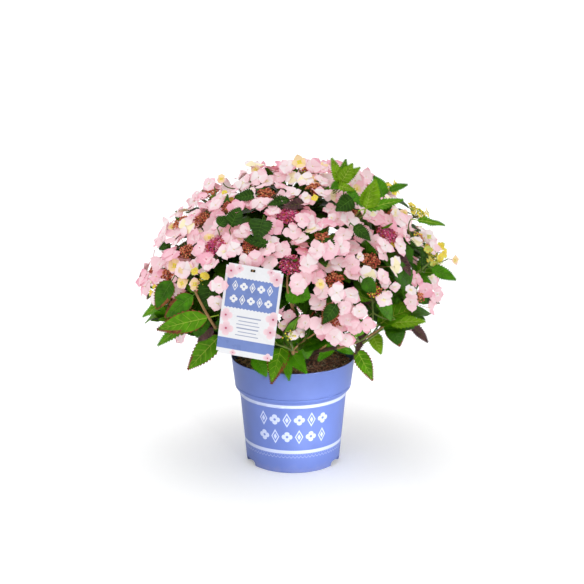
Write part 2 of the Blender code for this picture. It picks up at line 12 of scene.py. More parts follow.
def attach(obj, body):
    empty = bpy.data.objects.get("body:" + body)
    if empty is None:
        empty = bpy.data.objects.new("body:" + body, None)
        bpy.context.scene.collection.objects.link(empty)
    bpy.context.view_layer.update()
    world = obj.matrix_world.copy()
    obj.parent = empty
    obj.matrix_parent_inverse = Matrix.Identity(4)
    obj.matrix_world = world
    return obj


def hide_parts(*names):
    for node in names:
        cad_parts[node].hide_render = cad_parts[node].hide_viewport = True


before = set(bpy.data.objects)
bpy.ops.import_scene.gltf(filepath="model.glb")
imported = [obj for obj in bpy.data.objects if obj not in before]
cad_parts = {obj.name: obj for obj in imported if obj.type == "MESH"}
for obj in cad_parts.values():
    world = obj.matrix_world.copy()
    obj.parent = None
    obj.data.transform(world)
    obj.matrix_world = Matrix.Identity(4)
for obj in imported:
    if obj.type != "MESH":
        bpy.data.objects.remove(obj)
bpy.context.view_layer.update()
up = Vector((0, 0, 1))
fullTurn = 2 * math.pi
goldenAngle = math.pi * (3 - math.sqrt(5))

camera = {
    "place": (-0.002, -2.6, 1.031),
    "pitch": 15.24,  # degrees below level
    "lens": 90.2,
}

studio = {
    "ambient": 1.00,
    "floorColour": (0.98, 0.98, 0.98),
    "floorGlow": 0.14,
    "floorSize": 60,
    "sunFrom": (-0.10, -0.30, 1.0),
    "sun": 0.45,
    "sunAngle": 45,
    # a small lamp on the pot
    "lampPlace": (1.15, -2.45, 0.22),
    "lampTarget": (0, 0, 0.085),
    "lampSize": 0.2,
    "lampWatts": 0.30,
    "lampSpread": 7.6,  # degrees
}


# Shader nodes


class Wire:
    # one output of a node, with arithmetic on it
    def __init__(self, finish, socket):
        self.finish, self.socket = finish, socket

    def maths(self, operation, first, second=0):
        return self.finish.node("ShaderNodeMath", {"operation": operation}, {0: first, 1: second})

    def absolute(self):
        return self.maths("ABSOLUTE", self)

    def fraction(self):
        return self.maths("FRACT", self)

    def sine(self):
        return self.maths("SINE", self)


def overload(sign, operation):
    # an operator on wires, and its reflected form
    setattr(Wire, f"__{sign}__", lambda self, other: self.maths(operation, self, other))
    setattr(Wire, f"__r{sign}__", lambda self, other: self.maths(operation, other, self))


overload("add", "ADD")
overload("sub", "SUBTRACT")
overload("mul", "MULTIPLY")
overload("truediv", "DIVIDE")
overload("pow", "POWER")


class Finish:
    # a material with one Principled shader, whose fixed sockets are set by name
    def __init__(self, name, colour, roughness, fixed=None):
        self.material = bpy.data.materials.new(name)
        self.material.use_nodes = True
        self.material.diffuse_color = (*colour, 1)
        self.tree = self.material.node_tree
        self.shader = self.tree.nodes["Principled BSDF"]
        for socket, value in {"Base Color": (*colour, 1), "Roughness": roughness, **(fixed or {})}.items():
            self.feed(socket, value)

    def put(self, value, socket):
        if isinstance(value, Wire):
            self.tree.links.new(value.socket, socket)
        else:
            socket.default_value = value

    def feed(self, socket, value):
        self.put(value, self.shader.inputs[socket])

    def node(self, kind, settings, sockets, out=0):
        made = self.tree.nodes.new(kind)
        for name, value in settings.items():
            setattr(made, name, value)
        for name, value in sockets.items():
            self.put(value, made.inputs[name])
        return Wire(self, made.outputs[out])

    def place(self):
        return self.node("ShaderNodeTexCoord", {}, {}, "Object")

    def noise(self, scale, detail=3):
        sockets = {"Vector": self.place(), "Scale": scale, "Detail": detail, "Roughness": 0.55}
        return self.node("ShaderNodeTexNoise", {}, sockets)

    def spread(self, value, low, high):
        # a value between two limits, stretched to run from 0 to 1
        return self.node("ShaderNodeMapRange", {"clamp": True}, {"Value": value, "From Min": low, "From Max": high})

    def cloud(self, scale, detail=3, low=0.3):
        # soft patches that run from 0 to 1
        return self.spread(self.noise(scale, detail), low, 1 - low)

    def under(self, value, limit, soft=0.0002):
        # 1 where a value is under a limit
        return self.spread(value, limit + soft, limit - soft)

    def within(self, value, low, high, soft=0.0002):
        return self.under(value, high, soft) - self.under(value, low, soft)

    def parts(self, vector):
        return [self.node("ShaderNodeSeparateXYZ", {}, {0: vector}, i) for i in range(3)]

    def lozenge(self, u, v, halfWide, halfHigh):
        # a lozenge with an outline, a gap and a core
        far = u.absolute() * (1 / halfWide) + v.absolute() * (1 / halfHigh)
        return self.under(far, 1, 0.03) - self.under(far, 0.72, 0.03) + self.under(far, 0.42, 0.03)

    def petals(self, u, v, radius):
        # four petals, and how far they reach as a share of the radius
        square, far = u * u + v * v, (u * u - v * v).absolute()
        reach = ((far / (square + 1e-9)) ** 0.45) * 0.5 + 0.5
        away = (square**0.5) * (1 / radius)
        return self.under(away / reach, 1, 0.04), away

    def ornaments(self, across, height, look, cellWide, soft):
        # rows of lozenges and flowers by turns
        marks = 0
        for number, middle in enumerate(look["rows"]):
            turn = ((across + look["reach"] + look["cell"] * number) * (0.5 / look["cell"])).fraction()
            u, v = ((turn * 2).fraction() - 0.5) * cellWide, height - middle
            flower, away = self.petals(u, v, look["flower"])
            flower = flower - self.under(away, 0.24, 0.04)
            first = self.under(turn, 0.5, 0.001)
            both = self.lozenge(u, v, *look["lozenge"]) * first + flower * (1 - first)
            marks = marks + both * self.under(across.absolute(), look["reach"], soft)
        return marks

    def blend(self, factor, low, high):
        # 6 and 7 are the Mix node's two colours, and its third output is the mixed one
        return self.node("ShaderNodeMix", {"data_type": "RGBA"}, {0: factor, 6: low, 7: high}, 2)

    def bump(self, scale, detail, strength, distance):
        sockets = {"Height": self.noise(scale, detail), "Strength": strength, "Distance": distance}
        self.feed("Normal", self.node("ShaderNodeBump", {}, sockets))


def shade(colour, share=1):
    # a colour made lighter or darker, with an opaque fourth number
    return (*(min(1, c * share) for c in colour), 1)


def mottled(name, colour, roughness, scale, contrast, grain=0, fixed=None):
    # a finish whose colour wanders a little, with a fine relief if it has a grain
    finish = Finish(name, colour, roughness, fixed)
    cloud = finish.cloud(scale)
    finish.feed("Base Color", finish.blend(cloud, shade(colour, 1 - contrast), shade(colour, 1 + contrast)))
    finish.feed("Roughness", roughness - 0.06 + 0.12 * cloud)
    if grain:
        finish.bump(grain, 2, 0.35, 0.0004)
    return finish.material


# Meshes


class Batch:
    # the points and faces of many small shapes that become one piece
    def __init__(self):
        self.points, self.faces, self.count = [], [], 0

    def add(self, points, faces):
        self.points.append(np.asarray(points, float).reshape(-1, 3))
        self.faces += [tuple(self.count + i for i in face) for face in faces]
        self.count += len(self.points[-1])

    def addPart(self, points, faces):
        # some of a shape's faces, with only the points that they use
        used = sorted({i for face in faces for i in face})
        place = {i: k for k, i in enumerate(used)}
        self.add(points[used], [tuple(place[i] for i in face) for face in faces])


def linked(name, data):
    obj = bpy.data.objects.new(name, data)
    bpy.context.scene.collection.objects.link(obj)
    return obj


def finished(obj, material, replaced=()):
    # dresses a piece, and hangs it on the part's one body
    obj.data.materials.clear()
    obj.data.materials.append(material)
    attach(obj, "root")
    if replaced:
        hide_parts(*replaced)


def pieceFrom(batch, name, material, replaced=(), smooth=True):
    mesh = bpy.data.meshes.new(name)
    mesh.from_pydata(np.concatenate(batch.points), [], batch.faces)
    mesh.polygons.foreach_set("use_smooth", [smooth] * len(mesh.polygons))
    mesh.update()
    finished(linked(name, mesh), material, replaced)


def grid(rows, columns, closed=False):
    # the quads of a sheet of points, or of a sleeve where the last column meets the first
    faces = []
    for low in range(0, (rows - 1) * columns, columns):
        for j in range(columns if closed else columns - 1):
            k = (j + 1) % columns
            faces.append((low + j, low + k, low + columns + k, low + columns + j))
    return faces


def sleeve(rows, sides):
    # a closed grid with its two ends
    first = tuple(range(sides))
    return grid(rows, sides, True) + [first[::-1], tuple((rows - 1) * sides + k for k in first)]


def heading(azimuth, elevation):
    # the unit vector at these angles in degrees: azimuth 0 is the front, and 90 the right
    a, e = math.radians(azimuth), math.radians(elevation)
    return Vector((math.cos(e) * math.sin(a), -math.cos(e) * math.cos(a), math.sin(e)))


def metres(millimetres):
    return Vector([m / 1000 for m in millimetres])


def squareTo(axis, towards):
    flat = towards - axis * towards.dot(axis)
    return flat.normalized() if flat.length > 1e-6 else axis.orthogonal().normalized()


def outward(axis, towards):
    # gives a function from an angle round an axis to the direction there, square to the axis
    side = squareTo(axis, towards)
    other = axis.cross(side)
    return lambda angle: side * math.cos(angle) + other * math.sin(angle)


def bend(start, middle, end, steps):
    shares = [i / steps for i in range(steps + 1)]
    return [start * (1 - t) ** 2 + middle * (2 * t * (1 - t)) + end * t**2 for t in shares]


def pointAt(line, share):
    place = share * (len(line) - 1)
    i = min(int(place), len(line) - 2)
    return line[i].lerp(line[i + 1], place - i), (line[i + 1] - line[i]).normalized()


def tube(batch, line, radii, sides, full=None, reach=None):
    # a limb along points that tapers from one radius to the other, or would if it ran on to its full count
    side = squareTo((line[1] - line[0]).normalized(), up)
    points = []
    last = len(line) - 1
    for i, point in enumerate(line):
        along = (line[min(i + 1, last)] - line[max(i - 1, 0)]).normalized()
        out = outward(along, side)
        side = out(0)
        radius = radii[0] + (radii[1] - radii[0]) * i / ((full or len(line)) - 1)
        for k in range(sides):
            far = reach(i, k, radius) if reach else radius
            points.append(tuple(point + out(fullTurn * k / sides) * far))
    batch.add(points, sleeve(len(line), sides))


# Modelling by hand


def deselect():
    bpy.ops.object.select_all(action="DESELECT")


def alone(obj):
    # makes one object the active one and the only one selected
    deselect()
    obj.select_set(True)
    bpy.context.view_layer.objects.active = obj


def modify(obj, kind, **settings):
    modifier = obj.modifiers.new(kind.lower(), kind)
    for name, value in settings.items():
        setattr(modifier, name, value)


def applyAll(obj):
    alone(obj)
    for modifier in list(obj.modifiers):
        bpy.ops.object.modifier_apply(modifier=modifier.name)


def smoothed(obj, angle):
    alone(obj)
    bpy.ops.object.shade_smooth_by_angle(angle=math.radians(angle))


def thrown(name, profile, sides):
    # a disc that is drawn up and widened, ring by ring, through radii and heights in tenths of a millimetre
    deselect()
    (radius, height), *rings = [(r / 10000, h / 10000) for r, h in profile]
    bpy.ops.mesh.primitive_circle_add(vertices=sides, radius=radius, fill_type="NGON")
    obj = bpy.context.object
    obj.name = name
    bpy.ops.object.mode_set(mode="EDIT")
    bpy.ops.mesh.select_mode(type="VERT")
    bpy.ops.mesh.select_all(action="SELECT")
    bpy.ops.transform.translate(value=(0, 0, height))
    for nextRadius, nextHeight in rings:
        bpy.ops.mesh.extrude_region_move(TRANSFORM_OT_translate={"value": (0, 0, nextHeight - height)})
        share = nextRadius / radius
        bpy.ops.transform.resize(value=(share, share, 1), center_override=(0, 0, nextHeight))
        radius, height = nextRadius, nextHeight
    bpy.ops.mesh.select_all(action="SELECT")
    bpy.ops.mesh.normals_make_consistent(inside=False)
    bpy.ops.object.mode_set(mode="OBJECT")
    return obj


# The crown's rule, as the frame's solids follow it

crown = {
    "seed": 11,
    "gap": 0.0003,
    "heart": Vector((0, 0, 0.190)),
    "domeRadius": 0.024,
    "centre": Vector((0, 0, 0.31)),
    "radii": Vector((0.268, 0.252, 0.250)),
    "caneShare": 0.44,
    "caneRadii": (0.0044, 0.0030),
    "caneSway": 0.008,
    "caneArch": 0.006,
    "forkStep": 0.0045,
    "stemShare": 0.62,
    "stemRadii": (0.0030, 0.0026),
    "stemRun": 0.012,
    "shootRadii": (0.0021, 0.0014),
    "shootLean": 0.42,
    "twigRadii": (0.0013, 0.0010),
    "tipDepth": 0.014,
    "leafyDepth": {"l": 0.042, "d": 0.050},
    "headLift": 0.28,
    "headLean": 0.22,  # towards the front, where the light is
    "headLeanTo": 0.35,  # how far back heads point that still lean
    "floretLean": 0.12,
    "floretLeanTo": 0.12,  # metres behind the middle
    # the skirt's height, which rises towards the front, so that the pot's rim shows, and outwards
    "skirt": 0.218,
    "skirtFrom": 0.03,
    "skirtSlope": 0.33,
    "skirtRise": (0.14, 0.38),
    "young": 0.68,
    # name, count, elevation and first azimuth
    "rings": (("top", 1, 90, 0), ("upper", 6, 56, 0), ("lower", 8, 24, 0)),
    # shoots, with how far across and above the bough they point in degrees:
    # m a flower head that is fully out, b a flower head, y a young one, l leaves, d drooping leaves
    "upperFan": (("b", -10, 9), ("m", 11, 8), ("b", -11, -9), ("b", 10, -8), ("l", 0, 1)),
    "lowerFan": (("b", -11, 11), ("b", 10, 12), ("b", -1, -5), ("l", -14, -6), ("d", 11, -11)),
    # boughs whose shoots have ways of their own, by azimuth and elevation
    "shoots": {
        "top_1": (("b", -67, 80), ("y", 32, 84), ("b", 84, 74), ("b", 150, 79), ("b", -150, 78),
                  ("b", -28, 73), ("b", 22, 74)),
        "upper_1": (("m", -3, 64), ("m", -1, 48), ("b", -21, 52), ("b", 15, 55), ("b", 18, 43)),
        "upper_2": (("b", 38, 63), ("m", 54, 53), ("b", 75, 60), ("b", 37, 47), ("y", 80, 47)),
        "upper_3": (("y", 101, 61), ("y", 98, 50), ("b", 118, 62), ("b", 132, 52), ("b", 116, 48)),
        "upper_6": (("b", -45, 64), ("b", -63, 58), ("m", -38, 51), ("b", -56, 47), ("b", -78, 53)),
        "lower_1": (("y", -2, 28), ("b", 15, 31), ("l", -14, 26), ("d", -9, 18), ("d", 8, 20)),
        "lower_2": (("y", 34, 38), ("b", 61, 32), ("l", 29, 25)),
        "lower_3": (("y", 86, 39), ("b", 103, 33), ("l", 112, 20)),
        "lower_7": (("b", -83, 37), ("l", -77, 21), ("b", -104, 31), ("l", -106, 20)),
        "lower_8": (("y", -43, 39), ("l", -34, 28), ("b", -62, 38)),
    },
    "airy": ("lower_2", "lower_3"),  # boughs with fewer leaves
}
heart = crown["heart"]


def crownReach(direction):
    # how far the flowers lie from the heart in a direction
    scaled = Vector([d / r for d, r in zip(direction, crown["radii"])])
    offset = Vector([(h - c) / r for h, c, r in zip(heart, crown["centre"], crown["radii"])])
    a, b, c = scaled.dot(scaled), scaled.dot(offset), offset.dot(offset) - 1
    return (-b + math.sqrt(b * b - a * c)) / a


class Bough:
    # one cane with all that it carries
    def __init__(self, ring, number, elevation, azimuth):
        self.name = f"{ring}_{number + 1}"
        self.low = ring == "lower"
        self.airy = self.name in crown["airy"]
        self.axis = heading(azimuth, elevation)
        self.right = heading(azimuth + 90, 0)
        draw = random.Random(f"{crown['seed']} {self.name}")
        reach = crownReach(self.axis)
        start = heart + self.axis * (crown["domeRadius"] + crown["gap"])
        end = heart + self.axis * (reach * crown["caneShare"])
        sway = self.right * draw.uniform(-crown["caneSway"], crown["caneSway"]) + up * crown["caneArch"]
        self.limb = bend(start, (start + end) / 2 + sway, end, 12)
        self.fork = heart + self.axis * (reach * crown["stemShare"])
        if self.name in crown["shoots"]:
            self.ways = [(kind, heading(a, e)) for kind, a, e in crown["shoots"][self.name]]
            return
        rise = self.axis.cross(self.right) * -1
        self.ways = []
        for kind, across, above in crown["upperFan" if ring == "upper" else "lowerFan"]:
            across, above = across + draw.uniform(-2, 2), above + draw.uniform(-2, 2)
            way = self.axis + self.right * math.tan(math.radians(across))
            way += rise * math.tan(math.radians(above))
            self.ways.append((kind, way.normalized()))


def layOutBoughs():
    return [Bough(ring, i, elevation, azimuth + 360 * i / count)
            for ring, count, elevation, azimuth in crown["rings"] for i in range(count)]


# What foliage keeps clear of

card = {
    "size": Vector((0.098, 0.0009, 0.158)),
    "centre": Vector((-0.0735, -0.2300, 0.3500)),
    "turn": (-3, -7, -10),  # lean, tilt and yaw
    "slot": Vector((-0.003, 0, 0.0715)),
    "slotHeight": 0.0045,
    "bough": "upper_1",
    "stubRadius": 0.0012,
    "stubRun": 0.03,
    "stubProud": 0.006,
    "clear": 0.0022,
    "overhung": 0.014,  # a strip at the top that may be grown over
    "leafClear": (0.01, 0.03, 0.016),  # round its edge, before it and behind it
}

potRoom = {
    "height": 0.202,
    "rimRadius": 0.115,
    "lipInside": 0.1065,
    "soilTop": 0.187,
    "clear": 0.004,
}

testStep = 0.006  # between the spots of a shape that are tested
twigHalf = 0.0006  # half the height of the strip that stands for a twig


def cardMatrix():
    lean, tilt, yaw = (math.radians(a) for a in card["turn"])
    turn = Matrix.Rotation(yaw, 4, "Z") @ Matrix.Rotation(lean, 4, "X") @ Matrix.Rotation(-tilt, 4, "Y")
    return Matrix.Translation(card["centre"]) @ turn


cardInverse = cardMatrix().inverted()


def nearCard(point):
    local = cardInverse @ point
    half, clear = card["size"] / 2, card["clear"]
    if abs(local.x) > half.x + clear or abs(local.z) > half.z + clear or local.y > half.y + clear:
        return False
    return local.y > -half.y - clear or local.z < half.z - card["overhung"]


def behindCard(point):
    # true in the space just behind the card, where a curved leaf might poke through it
    local = cardInverse @ point
    half = card["size"] / 2
    edge, before, behind = card["leafClear"]
    return abs(local.x) < half.x + edge and abs(local.z) < half.z + edge and -before < local.y < behind


def nearPot(point):
    radius, clear = point.xy.length, potRoom["clear"]
    if point.z > potRoom["height"] + clear or radius > potRoom["rimRadius"] + clear:
        return False
    return radius > potRoom["lipInside"] - clear or point.z < potRoom["soilTop"] + clear


def tooLow(point):
    lowest = crown["skirt"] + crown["skirtSlope"] * max(0, -point.y - crown["skirtFrom"])
    start, rise = crown["skirtRise"]
    return point.z < lowest + rise * max(0, math.hypot(point.x, point.y) - start)


def barred(points, faces):
    # true if a shape comes too near the card or the pot
    for a, b, c in faces:
        p, q, r = points[a], points[b], points[c]
        steps = max(1, math.ceil(max((q - p).length, (r - p).length, (r - q).length) / testStep))
        for i in range(steps + 1):
            for j in range(steps + 1 - i):
                spot = p + (q - p) * (i / steps) + (r - p) * (j / steps)
                if nearCard(spot) or nearPot(spot):
                    return True
    return False


class Thicket:
    # what has been placed so far, and how often a new shape would cross it
    def __init__(self):
        self.centres, self.reaches = np.zeros((4000, 3)), np.zeros(4000)
        self.trees = []

    def crossings(self, points, faces, own=None):
        centre = sum(points, Vector()) / len(points)
        reach = max((p - centre).length for p in points)
        count = len(self.trees)
        apart = np.linalg.norm(self.centres[:count] - np.array(centre), axis=1)
        tree = BVHTree.FromPolygons(points, faces)
        near = np.nonzero(apart < self.reaches[:count] + reach)[0]
        met = sum(1 for i in near if self.trees[i] is not own and tree.overlap(self.trees[i]))
        return met, (tree, centre, reach)

    def keep(self, found):
        tree, self.centres[len(self.trees)], self.reaches[len(self.trees)] = found
        self.trees.append(tree)

    def keepTwig(self, line):
        corners = [p + up * twigHalf for p in line] + [p - up * twigHalf for p in line]
        faces = [(i, i + 1, len(line) + i) for i in range(len(line) - 1)]
        centre = sum(line, Vector()) / len(line)
        self.keep((BVHTree.FromPolygons(corners, faces), centre, max((p - centre).length for p in line)))
        return self.trees[-1]


# Leaves

leaf = {
    "length": 0.084,  # with its stalk
    "width": 0.042,
    "stalk": 0.17,  # share of the length
    "rows": 15,
    "columns": (-1, -0.68, -0.34, 0, 0.34, 0.68, 1),
    "sweep": 0.17,  # how far side veins run forward, as a share of the blade
    "relief": 0.0009,
    "tooth": 0.0030,
    "ribRadii": (0.0012, 0.0003),
    "veinWidth": 0.0010,
    "past": 0.012,  # how far its tip may pass the flowers
    "odd": 0.06,  # share of leaves with odd tints
    # what each one draws its own from
    "fold": (0.10, 0.34),
    "wave": (0, 0.0022),
    "twist": (-0.25, 0.25),
    "bend": (0.25, 0.7),
    "ownBend": (0.15, 0.5),
    "turn": 20,
    "spread": 58,
    "outward": 0.6,
    "droop": {"l": -0.05, "d": 0.42},
    "usualDroop": 0.20,
    "folds": (1.0, 0.7, 0.45),
    "swings": (0, 28, -28, 56, -56),
    "sizes": (1.0, 0.78),
    "tipNode": 0.97,
    "tipLeaves": ((0, 50), (90, 30), (180, 50), (270, 30)),
    # where one may be burnt: past which row, along which edge, and past which row there
    "burns": ((12, 0, 4), (12, 5, 3), (11, 0, 9), (12, 5, 7)),
}

# what leaves may be, with the share of them whose edge is burnt
leafTints = {
    "usual": ("Dark Deep Dark Mid Deep", 0.05),
    "fresh": ("Lime Fresh Lime", 0),
    "low": ("Mid Deep Fresh Mid Dark", 0.18),
    "odd": ("Bronze Fresh", 0),
}

veinTints = {"Dark": "Dark", "Deep": "Dark", "Mid": "Green", "Fresh": "Lime", "Lime": "Lime", "Bronze": "Red"}


def pick(draw, words):
    words = words.split()
    return words[draw.randrange(len(words))]


def bladeWidth(t):
    # ovate with a drawn-out tip: 1 where the blade is widest
    return 3.16 * t**0.60 * (1 - t) ** 1.15


def leafPattern():
    # the blade's points as across, along and relief, its teeth, and its side veins' middles
    rows = np.linspace(0.004, 0.985, leaf["rows"])
    columns = np.array(leaf["columns"])
    width = len(columns)

    def swept(row, across):
        return row + leaf["sweep"] * np.abs(across) * np.sin(np.pi * row) ** 0.7

    along = np.minimum(swept(rows[:, None], columns), 1 - 0.6 * (1 - rows[:, None]))
    ridge = (np.arange(leaf["rows"]) % 2)[:, None] * np.sin(np.pi * np.abs(columns)) ** 0.6
    ridge = ridge - 0.5 * (columns == 0)
    points = np.stack([columns * bladeWidth(along), along, ridge], 2).reshape(-1, 3)
    teeth, tips = [], []
    for i in range(leaf["rows"] - 1):
        for edge in (0, width - 1):
            low, high, apex = i * width + edge, (i + 1) * width + edge, len(points) + len(tips)
            tips.append(points[low] * 0.2 + points[high] * 0.8)
            teeth.append((high, low, apex) if edge else (low, high, apex))
    veins = []
    for i in range(2, leaf["rows"] - 2, 2):
        for sign in (-1, 1):
            shares = np.array([0, 0.34, 0.68, 0.93]) * sign
            run = swept(rows[i], shares)
            veins.append(np.stack([shares * bladeWidth(run), run], 1))
    return points, grid(leaf["rows"], width), np.array(tips), teeth, veins


leafPoints, leafFaces, toothPoints, toothFaces, leafVeins = leafPattern()
burntFaces = [{i for i in range(len(leafFaces)) if i // 6 > tip or i % 6 == edge and i // 6 > low}
              for tip, edge, low in leaf["burns"]]


def leafCurve(length, bendAngle):
    # how far a blade runs on and drops, and its slope, at shares of its length
    shares = np.linspace(0, 1, 25)
    slope = bendAngle * (shares**1.3 - 0.42)
    steps = np.diff(shares) * length
    middle = (slope[1:] + slope[:-1]) / 2
    run = np.concatenate([[0], np.cumsum(np.cos(middle) * steps)])
    drop = np.concatenate([[0], np.cumsum(-np.sin(middle) * steps)])
    return shares, run, drop, slope


def addLeaf(batches, tint, burnt, root, along, face, length, width, draw, bendAngle):
    # one leaf from its stalk's foot: blade, teeth, stalk with midrib, and side veins
    basis = np.array([along.cross(face).normalized(), along, face])
    stalk = length * leaf["stalk"]
    blade = length - stalk
    fold = draw.uniform(*leaf["fold"])
    wave, phase = draw.uniform(*leaf["wave"]), draw.uniform(0, 6.28)
    twist = draw.uniform(*leaf["twist"])
    shares, run, drop, slope = leafCurve(blade, bendAngle)
    start = math.sin(-slope[0])

    def placed(points, lift=0.0):
        # across and along as shares, and lift in metres, to the leaf's place
        x = points[:, 0] * width / 2
        t = np.clip(points[:, 1], 0, 1)
        z = lift + fold * np.abs(x) + wave * np.abs(points[:, 0]) ** 2 * np.sin(11 * t + phase)
        turn = twist * t
        x, z = x * np.cos(turn) - z * np.sin(turn), x * np.sin(turn) + z * np.cos(turn)
        lean = np.interp(t, shares, slope)
        y = stalk + np.interp(t, shares, run) + z * np.sin(lean)
        z = stalk * start * 0.5 + np.interp(t, shares, drop) + z * np.cos(lean)
        return np.array(root) + np.stack([x, y, z], 1) @ basis

    outer = toothPoints.copy()
    outer[:, 0] += np.sign(outer[:, 0]) * leaf["tooth"] / (width / 2)
    points = np.concatenate([placed(leafPoints, leafPoints[:, 2] * leaf["relief"]), placed(outer)])
    if burnt:
        rim = burntFaces[draw.randrange(len(burntFaces))]
        batches["leaves" + tint].addPart(points, [face for i, face in enumerate(leafFaces) if i not in rim])
        batches["leavesRed"].addPart(points, [face for i, face in enumerate(leafFaces) if i in rim] + toothFaces)
    else:
        batches["leaves" + tint].add(points, leafFaces + toothFaces)
    spine = placed(np.stack([np.zeros(9), np.linspace(0, 0.96, 9), np.zeros(9)], 1), -0.0005)
    line = [root - along * 0.001, root.lerp(Vector(spine[0]), 0.55)] + [Vector(p) for p in spine]
    ribs = batches["veins" + veinTints[tint]]
    tube(ribs, line, leaf["ribRadii"], 3)
    for vein in leafVeins:
        half = np.array([0, leaf["veinWidth"] / 2 / blade]) * np.linspace(1, 0.4, len(vein))[:, None]
        strip = np.concatenate([vein - half, vein + half])
        ribs.add(placed(strip, 0.0003), [(i, i + 1, len(vein) + i + 1, len(vein) + i) for i in range(len(vein) - 1)])


def bladeProxy(root, along, face, length, width, bendAngle):
    # a few triangles that stand for a leaf in the crossing test
    side = along.cross(face).normalized()
    stalk = length * leaf["stalk"]
    shares, run, drop, slope = leafCurve(length - stalk, bendAngle)
    rise = stalk * math.sin(-slope[0]) * 0.5

    def spine(share):
        ahead, above = stalk + np.interp(share, shares, run), rise + np.interp(share, shares, drop)
        return root + along * ahead + face * above

    corners = [spine(0.06)]
    for share, half in ((0.35, 0.5), (0.68, 0.36)):
        out, lift, middle = side * width * half, face * (width * half * 0.2), spine(share)
        corners += [middle + out + lift, middle, middle - out + lift]
    corners.append(spine(1))
    return corners, [(0, 1, 2), (0, 2, 3), (1, 4, 5), (1, 5, 2), (2, 5, 3), (3, 5, 6), (4, 7, 5), (5, 7, 6)]


def leafWays(bough, along, turn, spread):
    out = outward(along, bough.right)
    for fold in leaf["folds"]:
        lean = math.radians(spread * fold)
        for swing in leaf["swings"]:
            yield (along * math.cos(lean) + out(math.radians(turn + swing)) * math.sin(lean)).normalized()


def placeLeaf(batches, thicket, bough, own, root, along, turn, spread, size, droop, tints, draw):
    # the first way and size in which a leaf fits
    for scale in leaf["sizes"]:
        length, width = leaf["length"] * size * scale, leaf["width"] * size * scale
        for way in leafWays(bough, along, turn, spread):
            down = (way - up * droop).normalized()
            face = squareTo(down, up + bough.axis * leaf["outward"])
            bendAngle = draw.uniform(*leaf["bend"])
            corners, faces = bladeProxy(root, down, face, length, width, bendAngle)
            tip = corners[-1]
            if (tip - heart).length > crownReach((tip - heart).normalized()) + leaf["past"]:
                continue
            if tooLow(tip) or any(behindCard(c) for c in corners):
                continue
            met, found = thicket.crossings(corners, faces, own)
            if met or barred(corners, faces):
                continue
            thicket.keep(found)
            if draw.random() < leaf["odd"]:
                tints = "odd"
            words, burnt = leafTints[tints]
            tint = pick(draw, words)
            addLeaf(batches, tint, draw.random() < burnt, root, down, face, length, width, draw, bendAngle)
            return True
    return False


# Flowers

floret = {
    "radius": (0.0165, 0.0210),
    "rows": (0.05, 0.25, 0.48, 0.68, 0.86, 1.0),
    # half the width of a round sepal and of a pointed one, as shares of the radius
    "round": (0.08, 0.33, 0.49, 0.54, 0.43, 0.09),
    "pointed": (0.08, 0.37, 0.52, 0.43, 0.23, 0.02),
    "columns": (-1, -0.5, 0, 0.5, 1),
    "zones": ((0, 1), (1, 3), (3, 5)),  # rows of the sepal's foot, middle and edge
    "eyeRadius": 0.0013,
    "young": 0.62,  # size of a yellow one
    "eyeLift": 0.0008,
    "eyeSizes": (0.7, 1.1),
    "twoTone": 0.6,  # share whose every other sepal is deeper
    "over": (0.0009, 0.07),  # how far every other sepal lies over the rest: at its foot, and as a slope
    "pointing": 0.45,  # under 1, more are pointed than round
    "uneven": 0.10,  # how much larger one pair of sepals is
    "askew": 0.13,  # how far a sepal turns out of its quarter
    # what each floret or sepal draws its own from
    "cup": (-0.25, 0.42),
    "ownCup": (-0.2, 0.2),
    "size": (0.88, 1.08),
    "broad": (0.90, 1.14),
    "tip": (-0.25, 0.35),
    "curl": (-0.40, 0.20),
    "wave": (-0.10, 0.10),
}

# tints of a sepal's foot, middle and edge, each with what it may be
sepalKinds = {
    "edged": ("White", "Pale White Blush", "Pink Blush"),
    "blush": ("Pale", "Blush Pale", "Pink Blush"),
    "pale": ("White Cream", "White Pale", "Pale Blush"),
    "pink": ("Blush Pale", "Pink Blush", "Pink Rose"),
    "rose": ("Pink", "Rose Pink", "Rose"),
    "cream": ("Cream", "White Cream", "Pale White"),
    "peach": ("Yellow", "Peach", "Peach Blush"),
    "yellow": ("Yellow", "Yellow", "Yellow Lime"),
    "lime": ("Yellow", "Lime", "Lime Yellow"),
    "white": ("Lime", "White", "White"),
}

# the kind that every other sepal may be of
deeper = {"edged": "blush", "blush": "pink", "pale": "edged", "pink": "rose", "cream": "pale"}

head = {
    "florets": 8,
    "ringRadius": (0.028, 0.044),
    "tilt": (0.05, 0.95),
    "discRadius": {"m": 0.0205, "b": 0.0155, "y": 0.012},
    "buds": {"m": 180, "b": 105, "y": 40},
    "budRadius": (0.0012, 0.0021),
    "discRise": 0.006,
    "discSink": 0.001,
    "budLift": (-0.0016, 0.0012),
    "clump": 0.0024,
    "depth": 0.018,  # from the buds down to where the head branches
    "stalks": 11,
    "stalkRadii": (0.0008, 0.0005),
    "stalkEnds": (0.45, 0.85),  # by turns, as shares of the disc
    "tries": 6,  # for a place where a floret crosses nothing
    "tangle": 0.34,  # how far florets turn out of line
    "astray": 0.42,  # how far they stand out of their turn, as a share of it
    # how far out, how tilted and how high: every third one stands nearer the middle, flatter and higher
    "outer": (1, 1, 0.003),
    "inner": (0.84, 0.5, 0.0095),
    "lift": (-0.003, 0.004),
    "sag": 0.22,
    # kinds of floret and tints of bud, for each kind of head
    "kinds": {
        "m": "edged blush pink edged rose pale",
        "b": "edged pale blush edged pink edged pale blush edged cream pink",
        "y": "cream pale edged cream",
    },
    "budTints": {"m": "Magenta Magenta Magenta Pink Red", "b": "Red Orange Red Rust Orange", "y": "Green Yellow"},
}

